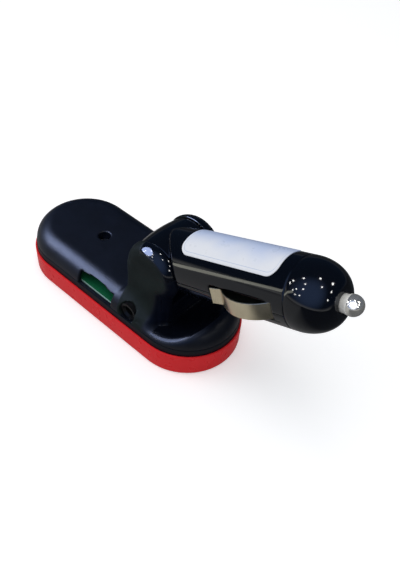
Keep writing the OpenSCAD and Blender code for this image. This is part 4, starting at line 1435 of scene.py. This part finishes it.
    def clip_path(self) -> Array:
        """Middle line of a side strap: a leaning tab, a bow that is a circle's arc, and a straight foot.

        Returns:
            Points (n, 2) as (along, out) in the plug's frame, smoothed where the parts meet.
        """
        arc_r = self.clip_l ** 2 / (8 * self.clip_out) + self.clip_out / 2
        middle = self.clip_s + self.clip_l / 2
        centre = self.r + self.clip_out - arc_r
        mid_r = arc_r - self.clip_t / 2
        start_s = self.clip_s - 0.1
        start = np.array([start_s, centre + math.sqrt(mid_r ** 2 - (middle - start_s) ** 2)])
        rise = self.r + self.tab_out - self.clip_t / 2 - start[1]
        lean = math.asin(rise / self.tab_l)
        tab_end = start + self.tab_l * np.array([-math.cos(lean), math.sin(lean)])
        tab = tab_end + (start - tab_end) * np.linspace(0, 1, TAB_POINTS)[:-1, None]
        s = np.linspace(start_s, self.foot_s + 0.1, BOW_POINTS)
        bow = np.stack([s, centre + np.sqrt(mid_r ** 2 - (s - middle) ** 2)], axis=1)
        foot = np.stack([s[-1] + np.linspace(self.foot_start, self.foot_l, FOOT_POINTS),
                         np.full(FOOT_POINTS, self.foot_y)], axis=1)
        path = np.concatenate([tab, bow, foot])
        for _ in range(STRAP_SMOOTHING):
            path[1:-1] = (path[:-2] + 2 * path[1:-1] + path[2:]) / 4
        return path

    def build_clips(self) -> None:
        """Carries a rounded strip along the strap's middle line, once on each side."""
        path = self.clip_path()
        section = round_section(self.clip_t / 2, self.clip_w / 2, self.clip_edge)
        for side, sign in (("near", -1), ("far", 1)):
            line = np.stack([path[:, 0], sign * path[:, 1], np.full(len(path), self.split_z)], axis=1)
            strap = make_piece("strap_" + side, strip_along(line, section, (0, 0, 1)), self.place, 50)
            self.wardrobe.dress(strap, Look.CLIP_NICKEL)
            settle(strap, "clip_" + side, "nickel", "ground_clip_" + side)

    def close_spring(self) -> None:
        """Works out how far along the plug the spring's lowest point, its terminal's end, lies, and gives the
        spring a mesh of its own.
        """
        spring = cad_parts["tip_spring"]
        ahead, start = self.ahead, np.array(self.hinge) * MM
        lowest = ((read_points(spring.data) - start) @ ahead).min()
        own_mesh(spring)

    def build(self) -> None:
        """Builds the plug's own pieces, dresses the nodes that stay, and gives the spring its own mesh."""
        self.build_barrel()
        self.build_nose()
        self.build_tip()
        self.build_label()
        self.build_clips()
        # The plug's board wears painted shade, near black.
        self.wardrobe.dress_nodes({
            "plug_board": Look.BOARD_PAINTED_SHADE, "plug_board_parts": Look.CHIP_BLACK,
            "fuse_holder": Look.NATURAL_WHITE, "spring_terminal": Look.BRASS, "plug_leads": Look.LEAD_RED,
            "fuse_caps": Look.TIP_NICKEL, "fuse_glass": Look.CLEAR, "tip_spring": Look.STEEL})
        self.close_spring()


# ---- The studio ----

@dataclass
class Studio:
    """Camera, lamps, sky and floor."""

    azimuth: float = 38.2517
    elevation: float = 45.9744
    roll: float = 5.4533
    distance: float = 225.4935
    target: tuple = (14.0316, 20.2922, -0.9844)
    lens: float = 37.9731
    sensor: float = 36.0
    clip: tuple = (0.01, 10.0)
    white: tuple = (1.0, 1.0, 1.0)
    warm: tuple = (1.0, 0.99, 0.97)
    part_middle: tuple = (0, 0, 10)
    # Ceiling lamps as (azimuth, elevation, width): they hang at a reach from the point they face.
    ceiling_aim: tuple = (72.0, 0.0, 50.0)
    ceiling_reach: float = 700.0
    ceiling_scale: float = 1.5
    ceiling_level: float = 24.0
    ceiling_lamps: tuple = ((-60, 25, 26), (-57, 24, 30), (-61, 33, 32), (-65, 55, 34), (-36, 54, 30),
                            (-35, 30, 26), (-23, 42, 34), (-38, 22, 24), (-26, 18, 22), (-17, 23, 24),
                            (-168, 84, 46), (125, 49, 60), (58, 69, 40), (99, 38, 44), (77, 26, 40))
    # The sky: its level as light, and in gloss its horizon, its dark and the middle of its glow.
    sky_level: tuple = (0.5, 0.51, 0.53)
    horizon: tuple = (1.0, 1.0, 0.97)
    dark: tuple = (0.014, 0.03, 0.062)
    glow: tuple = (0.25, 0.4, 0.82)
    glow_way: tuple = (0.1, -0.72, 0.68)
    # The floor: how it looks, its level as light, its pale and dark in gloss, and its half width.
    floor_colour: tuple = (0.93, 0.935, 0.94)
    floor_glow: float = 0.36
    floor_level: tuple = (0.72, 0.725, 0.73)
    floor_pale: tuple = (0.46, 0.46, 0.45)
    floor_dark: tuple = (0.06, 0.065, 0.07)
    floor_half: float = 4000.0

    def build_camera(self) -> None:
        """Places the camera by its angles round the target, as the photograph was taken."""
        az, el, roll = (math.radians(v) for v in (self.azimuth, self.elevation, self.roll))
        back = np.array([math.sin(az) * math.cos(el), -math.cos(az) * math.cos(el), math.sin(el)])
        right = np.cross(-back, (0, 0, 1))
        right /= np.linalg.norm(right)
        up = np.cross(right, -back)
        turn = np.eye(4)
        turn[:3, 0] = right * math.cos(roll) + up * math.sin(roll)
        turn[:3, 1] = -right * math.sin(roll) + up * math.cos(roll)
        turn[:3, 2] = back
        turn[:3, 3] = (np.array(self.target) + back * self.distance) * MM
        data = bpy.data.cameras.new("camera")
        data.lens, data.sensor_width, data.sensor_fit = self.lens, self.sensor, "AUTO"
        data.clip_start, data.clip_end = self.clip
        camera = bpy.data.objects.new("camera", data)
        camera.matrix_world = Matrix(turn.tolist())
        bpy.context.scene.collection.objects.link(camera)
        bpy.context.scene.camera = camera

    def build_lamp(self, name: str, place: tuple, aim: tuple, size: tuple, radiance: float,
                   colour: tuple, mirrored: bool) -> bpy.types.Object:
        """Adds a soft lamp.

        Args:
            name: the lamp's name.
            place: where it is, in millimetres.
            aim: the point that it faces.
            size: its width and height; two equal numbers make it round.
            radiance: how bright its face is, where 1 is white.
            colour: its colour.
            mirrored: whether it shows in glossy surfaces alone; otherwise it lights them and doesn't show.

        Returns:
            The lamp.
        """
        data = bpy.data.lights.new(name, "AREA")
        data.shape = "DISK" if size[0] == size[1] else "RECTANGLE"
        data.size, data.size_y = size[0] * MM, size[1] * MM
        area = size[0] * size[1] * MM * MM * (math.pi / 4 if data.shape == "DISK" else 1)
        data.energy, data.color = radiance * math.pi * area, colour
        lamp = bpy.data.objects.new(name, data)
        spot, goal = Vector(place) * MM, Vector(aim) * MM
        lamp.location = spot
        lamp.rotation_euler = (goal - spot).to_track_quat("-Z", "Y").to_euler()
        lamp.visible_diffuse, lamp.visible_glossy = not mirrored, mirrored
        bpy.context.scene.collection.objects.link(lamp)
        return lamp

    def build_lamps(self) -> None:
        """Soft panels that light the part."""
        for name, place, size, level, colour in (
                ("ceiling_panel", (-40, -60, 620), (420, 300), 2.1, self.warm),
                ("window_panel", (-420, -300, 330), (320, 260), 2.8, (0.9, 0.94, 1.0)),
                ("right_panel", (430, -160, 330), (260, 200), 0.55, self.warm)):
            self.build_lamp(name, place, self.part_middle, size, level, colour, False)

    def build_gleam(self, name: str, place: tuple, aim: tuple, size: tuple, radiance: float, colour: tuple,
                    pieces: tuple, lean: float = 0.0) -> None:
        """Adds a lamp that shows in the gloss of a few pieces and does nothing else.

        Args:
            name: the lamp's name.
            place: where it is, in millimetres.
            aim: the point that it faces.
            size: its width and height.
            radiance: how bright its face is.
            colour: its colour.
            pieces: names of the pieces that show it.
            lean: its turn about its own axis, in degrees.
        """
        lamp = self.build_lamp(name, place, aim, size, radiance, colour, True)
        turn = lamp.rotation_euler.to_quaternion() @ Quaternion((0, 0, 1), math.radians(lean))
        lamp.rotation_euler = turn.to_euler()
        group = bpy.data.collections.new(name + "_shows_on")
        for piece in pieces:
            group.objects.link(bpy.data.objects[piece])
        lamp.light_linking.receiver_collection = group

    def build_gleams(self) -> None:
        """The room that the gloss shows: round ceiling lamps, a leaning strip, and three soft panels."""
        for k, (azimuth, elevation, width) in enumerate(self.ceiling_lamps):
            a, e = math.radians(azimuth), math.radians(elevation)
            way = (math.sin(a) * math.cos(e), -math.cos(a) * math.cos(e), math.sin(e))
            place = tuple(c + self.ceiling_reach * w for c, w in zip(self.ceiling_aim, way))
            self.build_gleam(f"ceiling_lamp_{k}", place, self.ceiling_aim, (width * self.ceiling_scale,) * 2,
                             self.ceiling_level, self.warm, ("nose", "centre_contact", "rear_cover_shell"))
        self.build_gleam("leaning_strip", (-118, -188, 60), (55, -8, 45), (26, 200), 2.5, (1.0, 1.0, 0.84),
                         ("barrel_top_half", "barrel_bottom_half", "nose"), -30.0)
        self.build_gleam("shoulder_panel", (-425, -300, 500), (14, -10, 14), (560, 560), 12.5,
                         (0.62, 0.76, 1.25), ("rear_cover_shell",))
        for name, place, aim, size, level in (
                ("tip_sky", (260, -430, 520), (84, 0, 56), (1000, 1000), 1.15),
                ("tip_panel", (-420, -90, 40), (80, 0, 55), (340, 340), 2.4)):
            self.build_gleam(name, place, aim, size, level, self.warm, ("centre_contact",))

    def build_sky(self) -> None:
        """A plain sky: white where it is seen and an even level for light.

        In gloss it is pale at the horizon on the camera's side and dark above, with a blue glow
        overhead on that side.
        """
        world = bpy.data.worlds.new("sky")
        bpy.context.scene.world = world
        sheet = Sheet(world)
        rays = sheet.node("LightPath").outputs
        seen = sheet.calc("MAXIMUM", rays["Is Camera Ray"], rays["Is Transmission Ray"])
        way = sheet.node("TexCoord").outputs["Generated"]
        near = sheet.node("VectorMath", {"operation": "DOT_PRODUCT"}, i0=way, i1=self.glow_way)
        dark = sheet.blend(sheet.ease(near.outputs["Value"], 0.55, 1.0), self.dark, self.glow)
        front = sheet.between(sheet.split(way, "Y"), 0.8, 0.08, start=-0.15, end=0.15)
        edge = sheet.between(sheet.split(way, "Z"), front, 0.0, start=0.0, end=0.12)
        mirror = sheet.blend(edge, dark, self.horizon)
        lit = sheet.blend(rays["Is Glossy Ray"], self.sky_level, mirror)
        back = sheet.node("Background", Color=sheet.blend(seen, lit, self.white), Strength=1.0)
        sheet.node("OutputWorld", Surface=back.outputs[0])

    def build_floor(self) -> None:
        """A wide pale floor: it shows near white to the eye and keeps the object's shadow.

        In gloss it is grey, and dark to the right of the part and behind it.
        """
        corners = np.array([[-1, -1, 0], [1, -1, 0], [1, 1, 0], [-1, 1, 0]]) * self.floor_half
        floor = make_piece("floor", (corners, np.array([[0, 1, 2, 3]])))
        sheet = Sheet.named("floor_paper")
        rays = sheet.node("LightPath").outputs
        right = sheet.between(sheet.place("X"), 0.0, 1.0, start=60.0 * MM, end=95.0 * MM)
        behind = sheet.between(sheet.place("Y"), 0.0, 1.0, start=30.0 * MM, end=70.0 * MM)
        mirrored = sheet.blend(sheet.calc("MAXIMUM", right, behind), self.floor_pale, self.floor_dark)
        plain = sheet.blend(rays["Is Glossy Ray"], self.floor_level, mirrored)
        paper = sheet.node("BsdfDiffuse", Color=plain)
        shown = sheet.node("BsdfDiffuse", Color=(*self.floor_colour, 1.0))
        glow = sheet.node("Emission", Color=(*self.white, 1.0), Strength=self.floor_glow)
        lift = sheet.node("AddShader", i0=shown.outputs[0], i1=glow.outputs[0])
        seen = sheet.node("MixShader", i0=rays["Is Camera Ray"], i1=paper.outputs[0], i2=lift.outputs[0])
        sheet.node("OutputMaterial", Surface=seen.outputs[0])
        floor.data.materials.append(sheet.owner)

    def build(self) -> None:
        """Builds the studio and sets the plain view."""
        self.build_camera()
        self.build_floor()
        self.build_sky()
        self.build_lamps()
        bpy.context.scene.view_settings.view_transform = "Standard"


def main() -> None:
    """Builds the studio and the part, piece by piece, and then the lamps that show in the gloss."""
    logging.basicConfig(level=logging.INFO, format="%(name)s: %(message)s")
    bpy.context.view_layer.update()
    studio = Studio()
    studio.build()
    wardrobe = Wardrobe()
    Housing(wardrobe).build()
    Plug(wardrobe).build()
    studio.build_gleams()


if __name__ == "__main__":
    main()
